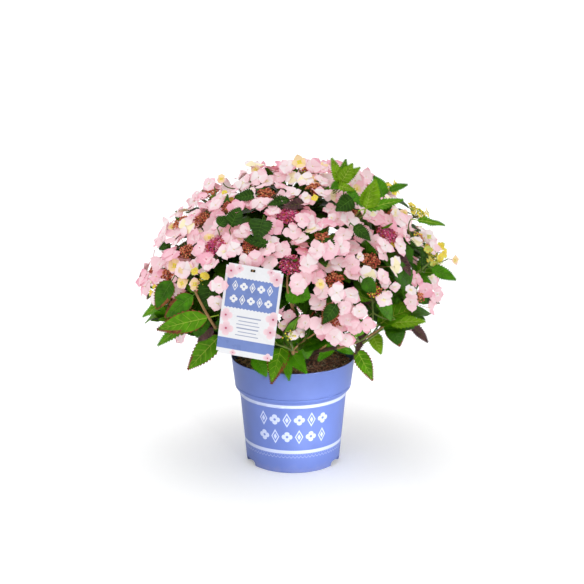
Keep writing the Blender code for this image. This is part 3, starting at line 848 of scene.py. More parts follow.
# young heads that differ: florets, their size, ring, kinds, buds, disc radius, bud tints and further reach
youngHeads = {
    "top_1 1": (7, 0.95, 0.85, "peach blush pale pink cream", 20, 0.010, "Yellow Red", 0.008),
    "upper_2 4": (6, 0.85, 0.80, "cream pale blush", 30, 0.012, "Orange Yellow", 0),
    "upper_3 0": (6, 0.66, 0.42, "yellow", 70, 0.014, "Yellow Green Yellow", 0.016),
    "upper_3 1": (7, 0.66, 0.48, "yellow", 80, 0.017, "Yellow Yellow Green", 0.024),
    "lower_2 0": (1, 0.78, 0.75, "pale", 80, 0.015, "Orange Red Yellow", 0),
    "lower_2 1": (4, 0.95, 0.90, "pink edged blush", 40, 0.010, "Red Orange", 0),
    "lower_1 0": (0, 0.88, 0.80, "cream", 16, 0.011, "Green Yellow", -0.02),
    "lower_3 0": (3, 0.80, 0.80, "lime yellow pale", 130, 0.020, "Green Green Yellow", 0.012),
    "lower_8 0": (0, 0.80, 0.85, "peach", 40, 0.012, "Yellow Red Orange", 0),
}


def icosahedron():
    high = (1 + math.sqrt(5)) / 2
    points = []
    for a in (-1, 1):
        for b in (-high, high):
            points += [(0, a, b), (a, b, 0), (b, 0, a)]
    points = np.array(points, float) / math.sqrt(1 + high * high)
    edge = 2 / math.sqrt(1 + high * high) + 1e-3
    near = np.linalg.norm(points[:, None] - points[None], axis=2) < edge
    faces = []
    for i, j, k in combinations(range(12), 3):
        if near[i, j] and near[j, k] and near[i, k]:
            a, b, c = points[i], points[j], points[k]
            faces.append((i, j, k) if np.dot(np.cross(b - a, c - a), a) > 0 else (i, k, j))
    return points, faces


ballPoints, ballFaces = icosahedron()


def addBall(batch, centre, radius):
    batch.add(ballPoints * radius + np.array(centre), ballFaces)


def addFloret(batches, kind, centre, normal, radius, draw):
    # four broad sepals that overlap round a small eye
    spin = draw.uniform(0, 6.28)
    out = outward(normal, Vector((math.cos(spin), math.sin(spin), 0.1)))
    shares, columns = np.array(floret["rows"]), np.array(floret["columns"])
    pointed = draw.random() ** floret["pointing"]
    uneven = draw.uniform(-floret["uneven"], floret["uneven"])
    halves = np.array(floret["round"]) * (1 - pointed) + np.array(floret["pointed"]) * pointed
    cup = draw.uniform(*floret["cup"])
    twoTone = draw.random() < floret["twoTone"]
    over, slope = floret["over"]
    for k in range(4):
        tones = sepalKinds[deeper.get(kind, kind) if twoTone and k % 2 else kind]
        angle = math.pi / 2 * k + draw.uniform(-floret["askew"], floret["askew"])
        size = radius * (draw.uniform(*floret["size"]) + uneven * (-1) ** k)
        broad = size * draw.uniform(*floret["broad"])
        along = out(angle)
        tip, curl, wave = (draw.uniform(*floret[name]) for name in ("tip", "curl", "wave"))
        x = halves[:, None] * columns[None] * broad
        y = (shares[:, None] - 0.10 * shares[:, None] ** 3 * columns[None] ** 2) * size
        rise = (cup + draw.uniform(*floret["ownCup"])) * shares**1.5 - 0.5 * tip * shares**4
        z = rise[:, None] * size + curl * x**2 / size + wave * columns[None] * shares[:, None] * size
        z = z + (over + slope * shares[:, None] * size) * (k % 2)
        basis = np.array([normal.cross(along), along, normal])
        points = np.array(centre) + np.stack([x, y, z], 2).reshape(-1, 3) @ basis
        for (low, high), tints in zip(floret["zones"], tones):
            part = points[low * len(columns):(high + 1) * len(columns)]
            faces = [face[::-1] for face in grid(high - low + 1, len(columns))]
            batches["sepals" + pick(draw, tints)].add(part, faces)
    eye = batches["eyesRose" if kind in ("rose", "pink") and draw.random() < 0.5 else "eyesCream"]
    addBall(eye, centre + normal * floret["eyeLift"], floret["eyeRadius"] * draw.uniform(*floret["eyeSizes"]))


def discProxy(centre, normal, radius):
    out = outward(normal, up)
    rim = [centre + out(math.pi / 3 * k) * radius * 0.86 for k in range(6)]
    return rim + [centre], [(k, (k + 1) % 6, 6) for k in range(6)]


def addHead(batches, thicket, bough, kind, base, facing, size, first, draw, young=None):
    # a low dome of buds with florets round it, all on thin stalks from one point
    out = outward(facing, bough.right)
    root = base - facing * (head["depth"] * size)
    stalks = batches["stalksPale" if kind == "y" else "stalksTan"]
    florets, petalSize, ring, kinds = head["florets"], 1, 1, head["kinds"][kind]
    buds, disc, budTints = head["buds"][kind], head["discRadius"][kind], head["budTints"][kind]
    if young:
        florets, petalSize, ring, kinds, buds, disc, budTints, _ = young
    turns = kinds.split()
    for k in range(buds):
        share = math.sqrt((k + 0.5) / buds)
        clump = head["clump"] * math.sin(5 * goldenAngle * k + first) if kind != "m" else 0
        spot = base + out(goldenAngle * k + draw.uniform(-0.1, 0.1)) * (disc * share + clump)
        spot += facing * (head["discRise"] * (1 - share**2) - head["discSink"] + draw.uniform(*head["budLift"]))
        addBall(batches["buds" + pick(draw, budTints)], spot, draw.uniform(*head["budRadius"]))
    for k in range(head["stalks"]):
        way = out(first + fullTurn * k / head["stalks"])
        spot = base + way * disc * head["stalkEnds"][k % 2]
        tube(stalks, bend(root, root.lerp(spot, 0.5) + way * 0.003, spot, 3), head["stalkRadii"], 3)
    for k in range(florets):
        best = None
        for attempt in range(head["tries"]):
            angle = first + fullTurn * (k + draw.uniform(-head["astray"], head["astray"])) / florets
            share, tilted, height = head["outer"] if k % 3 else head["inner"]
            far = draw.uniform(*head["ringRadius"]) * ring * share
            tilt = draw.uniform(*head["tilt"]) * tilted
            lift = height + draw.uniform(*head["lift"])
            normal = facing + out(angle) * tilt
            normal += Vector([draw.uniform(-head["tangle"], head["tangle"]) for _ in range(3)])
            normal.y -= crown["floretLean"] if base.y < crown["floretLeanTo"] else 0
            normal.normalize()
            centre = base + out(angle) * far + facing * (lift - head["sag"] * far)
            petals = turns[k % len(turns)] if young else pick(draw, kinds)
            radius = draw.uniform(*floret["radius"]) * petalSize * (floret["young"] if petals == "yellow" else 1)
            corners, faces = discProxy(centre, normal, radius)
            if barred(corners, faces):
                continue
            met, found = thicket.crossings(corners, faces)
            if best is None or met < best[0]:
                best = (met, found, centre, normal, radius, angle, petals)
            if not met:
                break
        if best is None or best[0] > 1:
            continue
        met, found, centre, normal, radius, angle, petals = best
        thicket.keep(found)
        addFloret(batches, petals, centre, normal, radius, draw)
        line = bend(root, root + out(angle) * 0.012, centre - normal * 0.0006, 4)
        tube(stalks, line, head["stalkRadii"], 3)


# Leaves, florets and twigs that have a place of their own, in millimetres

# leaves: tint, 1 if burnt, the blade's foot and tip, and its width
ownLeaves = (
    # over the pot's rim
    ("Fresh", 1, -19, -85, 253, -39, -130, 187, 34),
    ("Mid", 0, -14, -95, 235, -7, -127, 192, 18),
    ("Mid", 0, -17, -80, 248, 25, -124, 205, 32),
    ("Mid", 0, 23, -70, 263, 25, -85, 220, 32),
    ("Mid", 0, 73, -30, 230, 44, -60, 208, 18),
    ("Mid", 0, 75, -30, 234, 113, -30, 212, 16),
    ("Fresh", 1, 117, -30, 220, 146, -55, 168, 27),
    ("Lime", 0, 142, -50, 259, 160, -65, 222, 24),
    ("Mid", 0, -68, -100, 231, -47, -126, 200, 25),
    ("Bronze", 0, 129, -60, 266, 112, -80, 227, 13),
    # in front
    ("Dark", 1, 72, -246, 368, 47, -262, 337, 24),
    ("Mid", 0, 170, -181, 328, 139, -216, 359, 25),
    ("Dark", 0, 49, -190, 468, 58, -214, 438, 32),
    ("Deep", 0, 205, -124, 371, 151, -165, 427, 36),
    ("Bronze", 0, 181, -127, 426, 204, -142, 390, 18),
    ("Mid", 0, -10, -220, 390, 30, -229, 374, 40),
    # on the left
    ("Deep", 1, -210, -150, 383, -238, -152, 332, 32),
    ("Fresh", 0, -221, -119, 341, -268, -100, 303, 18),
    ("Mid", 1, -172, -171, 363, -224, -147, 316, 31),
    ("Fresh", 1, -146, -198, 331, -238, -160, 298, 34),
    ("Fresh", 0, -176, -176, 319, -238, -150, 265, 18),
    ("Deep", 0, -155, -181, 337, -166, -187, 291, 34),
    ("Bronze", 0, -137, -187, 309, -165, -177, 283, 16),
    ("Fresh", 1, -128, -160, 287, -185, -165, 226, 36),
    ("Dark", 0, -137, -177, 392, -150, -194, 344, 38),
    # at the top
    ("Lime", 0, 81, -100, 547, 66, -100, 591, 16),
    ("Fresh", 0, 83, -90, 549, 92, -85, 586, 13),
    ("Lime", 0, 83, -105, 547, 103, -110, 583, 22),
    ("Lime", 0, 85, -100, 549, 117, -95, 573, 14),
    ("Mid", 0, 79, -105, 545, 64, -120, 539, 13),
    ("Lime", 0, 78, -110, 543, 106, -130, 539, 12),
    ("Mid", 0, 94, -120, 539, 119, -150, 513, 13),
    ("Lime", 0, 124, -155, 514, 140, -155, 564, 31),
    ("Lime", 0, 124, -160, 514, 131, -170, 553, 13),
    ("Mid", 0, 155, -120, 526, 138, -120, 563, 25),
    ("Mid", 0, 167, -100, 533, 200, -100, 543, 11),
    ("Fresh", 0, 125, -155, 512, 189, -150, 527, 16),
    ("Bronze", 0, 20, -127, 516, -19, -148, 512, 16),
    ("Dark", 0, -67, -97, 524, -103, -103, 517, 20),
    ("Dark", 0, -7, -118, 520, -45, -140, 514, 16),
    ("Dark", 0, -52, -165, 495, -61, -205, 466, 36),
    ("Dark", 0, -106, -157, 482, -91, -137, 511, 26),
    ("Dark", 0, -41, -200, 459, -84, -203, 470, 14),
    ("Dark", 0, 101, -140, 526, 71, -165, 510, 28),
    ("Dark", 0, 103, -170, 485, 132, -175, 460, 20),
    ("Deep", 0, 117, -224, 406, 139, -224, 382, 22),
    ("Dark", 0, -127, -155, 482, -112, -145, 497, 20),
    ("Dark", 0, -217, -71, 429, -239, -68, 420, 14),
    # on the right
    ("Fresh", 0, 220, -60, 471, 271, -60, 461, 11),
    ("Mid", 0, 248, -60, 383, 293, -60, 361, 20),
    ("Mid", 0, 215, -80, 374, 246, -90, 361, 22),
    ("Dark", 0, 228, -90, 393, 227, -90, 429, 6),
    ("Dark", 0, 190, -83, 449, 220, -96, 427, 7),
    ("Lime", 0, 167, -150, 308, 233, -140, 307, 19),
    ("Deep", 1, 174, -100, 293, 190, -110, 251, 38),
    ("Bronze", 0, 212, -60, 279, 245, -60, 243, 16),
    ("Deep", 0, 212, -70, 306, 238, -70, 289, 14),
    ("Lime", 0, 176, -120, 313, 193, -130, 340, 14),
    ("Mid", 0, 182, -110, 312, 184, -120, 346, 22),
    ("Mid", 0, 227, -60, 328, 241, -60, 317, 14),
    ("Deep", 0, 195, -100, 435, 209, -110, 407, 16),
)

# florets: kind, centre, the way they face, and radius
ownFlorets = (
    # by the card
    ("edged", -124, -236, 398, 0.15, -1, 0.2, 17.5),
    ("pale", -130, -205, 359, -0.1, -1, 0.1, 16.5),
    # at the top
    ("peach", 11, -45, 572, 0.1, -1, 0.65, 16),
    ("edged", -11, -50, 567, -0.2, -1, 0.7, 17),
    ("blush", 34, -45, 565, 0.3, -1, 0.8, 17),
    # on the left
    ("peach", -192, -160, 382, -0.4, -1, 0.2, 12.5),
    ("peach", -168, -181, 386, -0.1, -1, 0.1, 13),
    ("yellow", -168, -183, 409, -0.2, -1, 0.4, 8.5),
    ("yellow", -150, -196, 404, 0.3, -1, 0.3, 8.5),
    ("peach", -206, -130, 405, -0.5, -1, 0.5, 16.5),
    ("peach", -185, -154, 407, -0.2, -1, 0.6, 15),
    ("yellow", -242, -109, 360, -0.8, -1, 0.2, 8.5),
    ("yellow", -250, -95, 349, -1, -0.8, 0, 7.5),
    # on the right
    ("yellow", 247, -29, 417, 0, -1, 0.5, 9.5),
    ("yellow", 268, -6, 411, 0.5, -1, 0.5, 9.5),
    ("yellow", 276, -10, 399, 0.9, -1, 0.2, 9.5),
    ("peach", 295, -10, 386, 0.8, -1, 0.1, 10),
    ("white", 240, 10, 425, 0, -1, 0.4, 15.5),
    ("pale", 156, -190, 392, 0.1, -1, 0.3, 12.5),
    ("pale", 174, -181, 381, 0.4, -1, 0.1, 11.5),
    ("cream", 160, -196, 371, 0.1, -1, -0.2, 10),
    ("cream", 204, -152, 368, 0.2, -1, 0.2, 10.5),
    ("pink", 232, -117, 358, 0.3, -1, 0.4, 16.5),
    ("edged", 257, -82, 341, 0.7, -1, 0.1, 15.5),
    ("white", 245, -30, 434, 0.3, -1, 0.5, 15),
    ("lime", 241, -55, 416, 0, -1, 0.3, 8.5),
    ("yellow", 265, -50, 400, 0.5, -1, 0.1, 8.5),
    ("lime", 253, -55, 390, 0, -1, -0.2, 8),
    ("pale", 108, -85, 547, 0.1, -1, 0.6, 16.5),
    ("edged", 128, -70, 551, 0.4, -1, 0.6, 16.5),
    ("blush", 118, -100, 534, 0.2, -1, 0.4, 16),
    ("cream", 112, -60, 551, 0, -1, 0.9, 12),
    # low at the front
    ("edged", -7, -222, 341, 0.1, -1, 0.3, 13),
    ("cream", -16, -226, 325, 0.1, -1, 0.2, 11),
    ("cream", -27, -190, 300, -0.2, -1, 0.1, 11.5),
    ("cream", 0, -225, 307, 0.2, -1, -0.1, 10.5),
    ("cream", 15, -220, 312, 0.5, -1, 0.2, 11.5),
    # small young ones over the crown
    ("yellow", -120, -80, 524, -0.2, -1, 0.4, 8),
    ("yellow", -108, -91, 514, -0.2, -1, 0.4, 8),
    ("peach", -144, -149, 460, -0.3, -1, 0.4, 10),
    ("peach", -67, -11, 553, -0.1, -1, 0.4, 10),
    ("peach", -223, 29, 439, -0.4, -1, 0.4, 9),
    ("peach", 110, -109, 537, 0.2, -1, 0.4, 9),
    ("cream", 137, -129, 500, 0.3, -1, 0.4, 10),
    ("yellow", 175, -124, 443, 0.3, -1, 0.4, 7),
    ("cream", 180, -74, 488, 0.3, -1, 0.4, 10),
    ("peach", 200, -28, 477, 0.4, -1, 0.4, 9),
    ("cream", 22, -126, 525, 0, -1, 0.4, 11),
    ("yellow", 37, -134, 527, 0.1, -1, 0.4, 7),
    ("cream", 66, -153, 496, 0.1, -1, 0.4, 9),
    ("cream", 148, -105, 425, 0.3, -1, 0.4, 7),
    ("cream", 114, -187, 436, 0.2, -1, 0.4, 9),
    ("peach", 46, -242, 402, 0.1, -1, 0.4, 10),
    ("edged", -148, -60, 537, -0.6, -1, 0.6, 15),
    ("peach", -127, -55, 544, -0.2, -1, 0.7, 10.5),
    # the low head right of the middle
    ("edged", 85, -246, 362, 0.1, -1, 0.4, 15.5),
    ("pale", 111, -232, 352, 0.4, -1, 0.5, 15.5),
    ("blush", 123, -224, 326, 0.5, -1, 0.1, 16),
    ("pink", 102, -238, 326, 0.2, -1, 0.2, 15),
    ("edged", 81, -232, 326, 0, -1, 0.3, 16),
    ("pink", 91, -240, 304, 0.1, -1, -0.1, 16),
    ("blush", 49, -236, 320, -0.2, -1, 0.2, 15),
)

# twigs that show: tint, radii in metres, and the three points each bends by
ownTwigs = (
    ("stemsTan", (0.0028, 0.0019), (-133, -190, 310), (-151, -215, 348), (-168, -192, 378)),
    ("stemsTan", (0.0024, 0.0016), (3, -205, 341), (-17, -250, 396), (-7, -205, 419)),
    ("stemsTan", (0.0042, 0.003), (49, -45, 221), (58, -55, 240), (71, -80, 266)),
    ("stemsGreen", (0.0024, 0.0018), (124, -110, 258), (147, -115, 275), (170, -110, 297)),
    ("stemsGreen", (0.002, 0.0015), (208, -100, 379), (223, -95, 385), (244, -70, 397)),
    ("stemsTan", (0.002, 0.0016), (186, -125, 326), (204, -115, 332), (219, -105, 344)),
)


ownStalks = {
    "radii": (0.0007, 0.0007),
    "run": 0.006,  # straight down from a floret
    "further": 0.008,  # how much further in the place must be that a thin twig starts from
    "inward": 0.02,  # how far back towards the heart that twig bends at most
}


def growOwnFlorets(batches, thicket):
    # gives where each floret's stalk begins
    draw = random.Random(f"{crown['seed']} own florets")
    starts = []
    for kind, x, y, z, *facing, radius in ownFlorets:
        centre, normal, radius = metres((x, y, z)), Vector(facing).normalized(), radius / 1000
        thicket.keep(thicket.crossings(*discProxy(centre, normal, radius))[1])
        addFloret(batches, kind, centre, normal, radius, draw)
        starts.append(centre - normal * head["depth"])
        line = bend(centre - normal * 0.0006, centre - normal * ownStalks["run"], starts[-1], 3)
        tube(batches["stalksTan"], line, ownStalks["radii"], 4)
    return starts


def growOwnLeaves(batches, thicket):
    # gives where each leaf's stalk begins
    draw = random.Random(f"{crown['seed']} own leaves")
    starts = []
    for tint, burnt, *ends, width in ownLeaves:
        foot, tip, width = metres(ends[:3]), metres(ends[3:]), width / 1000
        along = (tip - foot).normalized()
        length = (tip - foot).length / (1 - leaf["stalk"])
        root = foot - along * (length * leaf["stalk"])
        face = squareTo(along, Vector((foot.x * 1.5, -1, 0.45 + draw.uniform(-0.2, 0.3))))
        bendAngle = draw.uniform(*leaf["ownBend"])
        corners, faces = bladeProxy(root, along, face, length, width, bendAngle)
        if barred(corners, faces):
            print("an own leaf is too near the pot or card", tuple(foot))
        thicket.keep(thicket.crossings(corners, faces)[1])
        addLeaf(batches, tint, burnt, root, along, face, length, width, draw, bendAngle)
        starts.append(root)
    return starts


def joinOwnParts(batches, thicket, starts, lines):
    # the twigs that show, and a thin twig to each leaf or floret from the nearest place further in
    for tint, radii, *corners in ownTwigs:
        tube(batches[tint], bend(*(metres(corner) for corner in corners), 8), radii, 8)
    spots = [p for line in lines for p in line]
    for start in starts:
        far = (start - heart).length
        inner = [p for p in spots if (p - heart).length < far - ownStalks["further"]] or spots
        root = min(inner, key=lambda p: (p - start).length)
        inward = (heart - start).normalized() * min(ownStalks["inward"], (root - start).length / 2)
        line = bend(root, start + inward, start, 7)
        thicket.keepTwig(line)
        tube(batches["stemsGreen"], line, crown["twigRadii"], 6)


# Foliage and flowers, bough by bough

growth = {
    # pairs of leaves: their places along a shoot, and their sizes
    "nodes": (0.30, 0.46, 0.62, 0.78, 0.92),
    "sizes": (0.95, 1.0, 1.0, 0.95, 0.66),
    "airyGaps": (0, 2),  # pairs that airy boughs go without
    "sizeSpread": (0.85, 1.1),
    "tipSizes": (0.72, 0.95),
    "sideShoots": 2,
    "sidePlaces": (0.35, 0.85),
    "sideSizes": (0.45, 0.72),
    "sideTurns": (0, 130, 230),
    "sideSpread": 42,
    "sideDroop": 0.1,
}


def shootTip(kind, way, draw):
    depth = draw.uniform(0, crown["tipDepth"]) + crown["leafyDepth"].get(kind, 0)
    return heart + way * (crownReach(way) - depth)


def shootLine(bough, number, tip):
    root = bough.fork - bough.axis * (0.002 + crown["forkStep"] * number)
    middle = root + bough.axis * ((tip - bough.fork).length * crown["shootLean"])
    return bend(root, middle, tip, 8)


def cardStub(bough):
    # the bare twig that runs out through the card's slot, close under its top
    turn = cardMatrix()
    slot = turn @ (card["slot"] + up * (card["slotHeight"] / 2 - card["stubRadius"] - crown["gap"]))
    normal = (turn.to_3x3() @ Vector((0, -1, 0))).normalized()
    start = slot - normal * card["stubRun"]
    middle = bough.fork.lerp(start, 0.5) + up * crown["caneArch"]
    line = bend(bough.fork - bough.axis * (crown["forkStep"] * 6), middle, start, 8)
    return line + [slot + normal * card["stubProud"]]


def growStems(batches, thicket, bough):
    # from the cane's end to the fork, where the shoots part
    onward = (bough.limb[-1] - bough.limb[-2]).normalized()
    line = bend(bough.limb[-1], bough.limb[-1] + onward * crown["stemRun"], bough.fork, 8)
    tube(batches["stemsTan"], line, crown["stemRadii"], 8)
    if bough.name == card["bough"]:
        stub = cardStub(bough)
        tube(batches["stemsTan"], stub, (crown["shootRadii"][0], card["stubRadius"]), 8)
        thicket.keepTwig(stub)


def growLeaves(batches, thicket, bough, kind, line, own, draw):
    # gives how far along the shoot its last leaf is
    usualDroop = leaf["droop"].get(kind, leaf["usualDroop"])
    leafy = 0

    def grow(share, turn, size, tints, spread=leaf["spread"], droop=usualDroop):
        place, along = pointAt(line, share)
        if placeLeaf(batches, thicket, bough, own, place, along, turn, spread, size, droop, tints, draw):
            return share
        return 0

    for pair, (share, grown) in enumerate(zip(growth["nodes"], growth["sizes"])):
        if bough.airy and pair in growth["airyGaps"]:
            continue
        for half in (0, 180):
            turn = leaf["turn"] + 90 * pair + half + draw.uniform(-12, 12)
            size = grown * draw.uniform(*growth["sizeSpread"])
            tints = "fresh" if kind == "l" and share > 0.7 else "low" if bough.low else "usual"
            leafy = max(leafy, grow(share, turn, size, tints))
    if kind in "ld":
        for turn, spread in leaf["tipLeaves"]:
            tints = "fresh" if kind == "l" and not bough.low else "low"
            if grow(leaf["tipNode"], turn, draw.uniform(*growth["tipSizes"]), tints, spread):
                leafy = 1
    for i in range(0 if bough.airy else growth["sideShoots"]):
        share, turn = draw.uniform(*growth["sidePlaces"]), draw.uniform(0, 360)
        for further in growth["sideTurns"]:
            size, tints = draw.uniform(*growth["sideSizes"]), "low" if bough.low else "usual"
            found = grow(share, turn + further, size, tints, growth["sideSpread"], growth["sideDroop"])
            leafy = max(leafy, found)
    return leafy


def growCrown(batches):
    thicket = Thicket()
    shoots = []
    starts = growOwnLeaves(batches, thicket) + growOwnFlorets(batches, thicket)
    for bough in layOutBoughs():
        growStems(batches, thicket, bough)
        for i, (kind, way) in enumerate(bough.ways):
            draw = random.Random(f"{crown['seed']} {bough.name} {i}")
            tip = shootTip(kind, way, draw)
            if kind in "mby":
                front = Vector((0, -1, 0)) if way.y < crown["headLeanTo"] else Vector()
                facing = (way + up * crown["headLift"] + front * crown["headLean"]).normalized()
                first = draw.uniform(0, fullTurn)
                size = crown["young"] if kind == "y" else 1
                young = youngHeads.get(f"{bough.name} {i}")
                if young:
                    tip += way * young[-1]
                addHead(batches, thicket, bough, kind, tip, facing, size, first, draw, young)
                tip = tip - facing * (head["depth"] * size)
            shoots.append((bough, kind, shootLine(bough, i, tip), draw))
    joinOwnParts(batches, thicket, starts, [line for _, _, line, _ in shoots])
    for bough, kind, line, draw in shoots:
        leafy = growLeaves(batches, thicket, bough, kind, line, thicket.keepTwig(line), draw)
        bark = "stemsTan" if bough.low and kind in "bd" else "stemsGreen"
        last = math.ceil(leafy * (len(line) - 1)) + 1 if kind in "ld" else len(line)
        if last > 2:
            tube(batches[bark], line[:last], crown["shootRadii"], 6, len(line))


# colour in thousandths, roughness, scale and contrast of its mottling,
# and for thin sepals a painted glow in thousandths, which stands in for the light that comes through them
foliageTints = {
    "leavesDark": ((19, 60, 3), 0.36, 80, 0.45),
    "leavesDeep": ((32, 116, 3), 0.38, 80, 0.42),
    "leavesMid": ((52, 195, 2), 0.40, 80, 0.38),
    "leavesFresh": ((78, 235, 3), 0.40, 80, 0.32),
    "leavesLime": ((140, 290, 4), 0.42, 80, 0.30),
    "leavesBronze": ((82, 36, 40), 0.42, 90, 0.60),
    "leavesRed": ((170, 50, 18), 0.42, 90, 0.50),
    "veinsDark": ((55, 140, 10), 0.50, 60, 0.15),
    "veinsGreen": ((100, 250, 15), 0.50, 60, 0.15),
    "veinsLime": ((330, 470, 50), 0.50, 60, 0.12),
    "veinsRed": ((110, 90, 30), 0.50, 60, 0.15),
    "stemsGreen": ((130, 180, 35), 0.50, 60, 0.30),
    "stemsTan": ((300, 170, 70), 0.60, 60, 0.30),
    "stalksPale": ((420, 400, 110), 0.50, 60, 0.25),
    "stalksTan": ((380, 220, 100), 0.50, 60, 0.25),
    "sepalsWhite": ((665, 682, 687), 0.60, 45, 0.04, (200, 82, 86)),
    "sepalsPale": ((630, 617, 637), 0.60, 45, 0.05, (250, 77, 84)),
    "sepalsBlush": ((625, 542, 582), 0.60, 45, 0.06, (260, 72, 80)),
    "sepalsPink": ((615, 457, 522), 0.60, 45, 0.07, (260, 67, 76)),
    "sepalsRose": ((595, 357, 442), 0.60, 45, 0.08, (250, 54, 66)),
    "sepalsCream": ((790, 730, 500), 0.60, 45, 0.05, (85, 55, 20)),
    "sepalsPeach": ((780, 600, 350), 0.60, 45, 0.06, (90, 45, 15)),
    "sepalsYellow": ((700, 560, 70), 0.60, 45, 0.08, (85, 60, 5)),
    "sepalsLime": ((600, 640, 160), 0.60, 45, 0.10, (50, 55, 5)),
    "eyesCream": ((780, 660, 300), 0.50, 60, 0.10),
    "eyesRose": ((600, 80, 140), 0.50, 60, 0.10),
    "budsMagenta": ((520, 65, 180), 0.45, 200, 0.40),
    "budsPink": ((720, 300, 380), 0.45, 200, 0.30),
    "budsRed": ((440, 80, 45), 0.45, 200, 0.40),
    "budsRust": ((260, 55, 28), 0.45, 200, 0.40),
    "budsOrange": ((660, 240, 110), 0.45, 200, 0.30),
    "budsGreen": ((400, 480, 50), 0.45, 200, 0.25),
    "budsYellow": ((820, 680, 60), 0.45, 200, 0.20),
}


def makeCrown():
    batches = defaultdict(Batch)
    growCrown(batches)
    masses = [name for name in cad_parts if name.startswith("foliage_")]
    for name, (colour, roughness, scale, contrast, *glow) in foliageTints.items():
        if name not in batches:
            continue
        leafy = name.startswith("leaves")
        fixed = {"Specular IOR Level": 0.09 if leafy else 0.18}
        # the sepals glow: painted light that stands in for light shining through them
        if glow:
            fixed.update({"Emission Color": (*(g / 1000 for g in glow[0]), 1), "Emission Strength": 1})
        colour = [c / 1000 for c in colour]
        material = mottled(name, colour, roughness, scale, contrast, 900 if leafy else 0, fixed)
        pieceFrom(batches[name], name, material, masses if name == "leavesDark" else ())


# Pot

pot = {
    "sides": 160,
    # radii and heights: under the foot, up the outside, over the rim and down the inside
    "profile": (
        (790, 8), (815, 0), (858, 0), (872, 8), (877, 25), (915, 450), (955, 890), (984, 1215), (990, 1283),
        (999, 1290), (1000, 1305), (996, 1318), (997, 1358), (1006, 1376), (1030, 1394), (1056, 1416),
        (1076, 1442), (1085, 1470), (1085, 1486), (1079, 1491), (1079, 1496), (1087, 1502), (1114, 1720),
        (1147, 1996), (1150, 2009), (1147, 2017), (1138, 2020), (1131, 2016), (1128, 2006), (1096, 1740),
        (1066, 1482), (1036, 1440), (996, 1400), (978, 1360), (857, 40), (845, 28), (500, 26),
    ),
    "arches": (66, 114, -66, -114),
    "archSize": (0.038, 0.024, 0.019),
    "archRound": 0.006,
    "archFar": 0.0905,
    "blue": (0.090, 0.135, 0.375),
    "print": (0.380, 0.425, 0.590),
    "paleFoot": (0.20, 0.20, 0.30),
    "bands": ((0.1304, 0.1364), (0.0396, 0.0462)),
    # the pierced edge that hangs from the lower band
    "scallops": 40,
    "scallopDepth": 0.0042,
    "edge": (0.0352, 0.0361),
    "threads": 120,
    "threadBand": (0.0374, 0.0386),
    # ornaments: the heights of their rows, and in degrees a cell and how far they reach
    "rows": (0.1070, 0.0735),
    "cell": 13.5,
    "reach": 40.5,
    "radius": 0.0945,
    "lozenge": (0.0078, 0.0142),
    "flower": 0.0100,
}


def potFinish():
    finish = Finish("potBlue", pot["blue"], 0.45, {"Specular IOR Level": 0.4})
    x, y, z = finish.parts(finish.place())
    degree = math.pi / 180
    across = x.maths("ARCTANGENT", x / (y * -1)) * (1 / degree)
    marks = finish.within(z, *pot["bands"][0]) + finish.within(z, *pot["bands"][1])
    edge = z + (across * (degree * pot["scallops"])).sine().absolute() * pot["scallopDepth"]
    threads = finish.under((across * (degree * pot["threads"])).sine(), 0.1, 0.3)
    marks += finish.within(edge, *pot["edge"], 0.0003) * 0.75
    marks += finish.within(z, *pot["threadBand"], 0.0003) * threads * 0.35
    marks += finish.ornaments(across, z, pot, pot["cell"] * degree * pot["radius"], 0.2)
    cloud = finish.cloud(26, 4)
    blue = finish.blend(cloud, shade(pot["blue"], 0.94), shade(pot["blue"], 1.05))
    # the blue turns paler and greyer towards the foot, in the bottom centimetre or so
    paleFoot = finish.under(z + (finish.noise(60) - 0.5) * 0.03, 0.006, 0.008) * 0.35
    blue = finish.blend(paleFoot, blue, shade(pot["paleFoot"]))
    finish.feed("Base Color", finish.blend(finish.spread(marks, 0, 1), blue, shade(pot["print"])))
    finish.feed("Roughness", 0.44 + 0.10 * cloud)
    finish.bump(420, 2, 0.10, 0.0003)
    return finish.material


def archCutter(azimuth):
    deselect()
    bpy.ops.mesh.primitive_cube_add(size=1, scale=pot["archSize"])
    cutter = bpy.context.object
    alone(cutter)
    bpy.ops.object.transform_apply()
    modify(cutter, "BEVEL", width=pot["archRound"], segments=5)
    applyAll(cutter)
    cutter.location = heading(azimuth, 0) * pot["archFar"]
    cutter.rotation_euler = (0, 0, math.radians(azimuth))
    bpy.ops.object.transform_apply()
    return cutter


def makePot():
    shell = thrown("pot", pot["profile"], pot["sides"])
    cutters = [archCutter(azimuth) for azimuth in pot["arches"]]
    for cutter in cutters:
        modify(shell, "BOOLEAN", operation="DIFFERENCE", solver="EXACT", object=cutter)
    applyAll(shell)
    for cutter in cutters:
        bpy.data.objects.remove(cutter, do_unlink=True)
    smoothed(shell, 38)
    finished(shell, potFinish(), ("pot",))


makePot()
print("pot is thrown and printed")
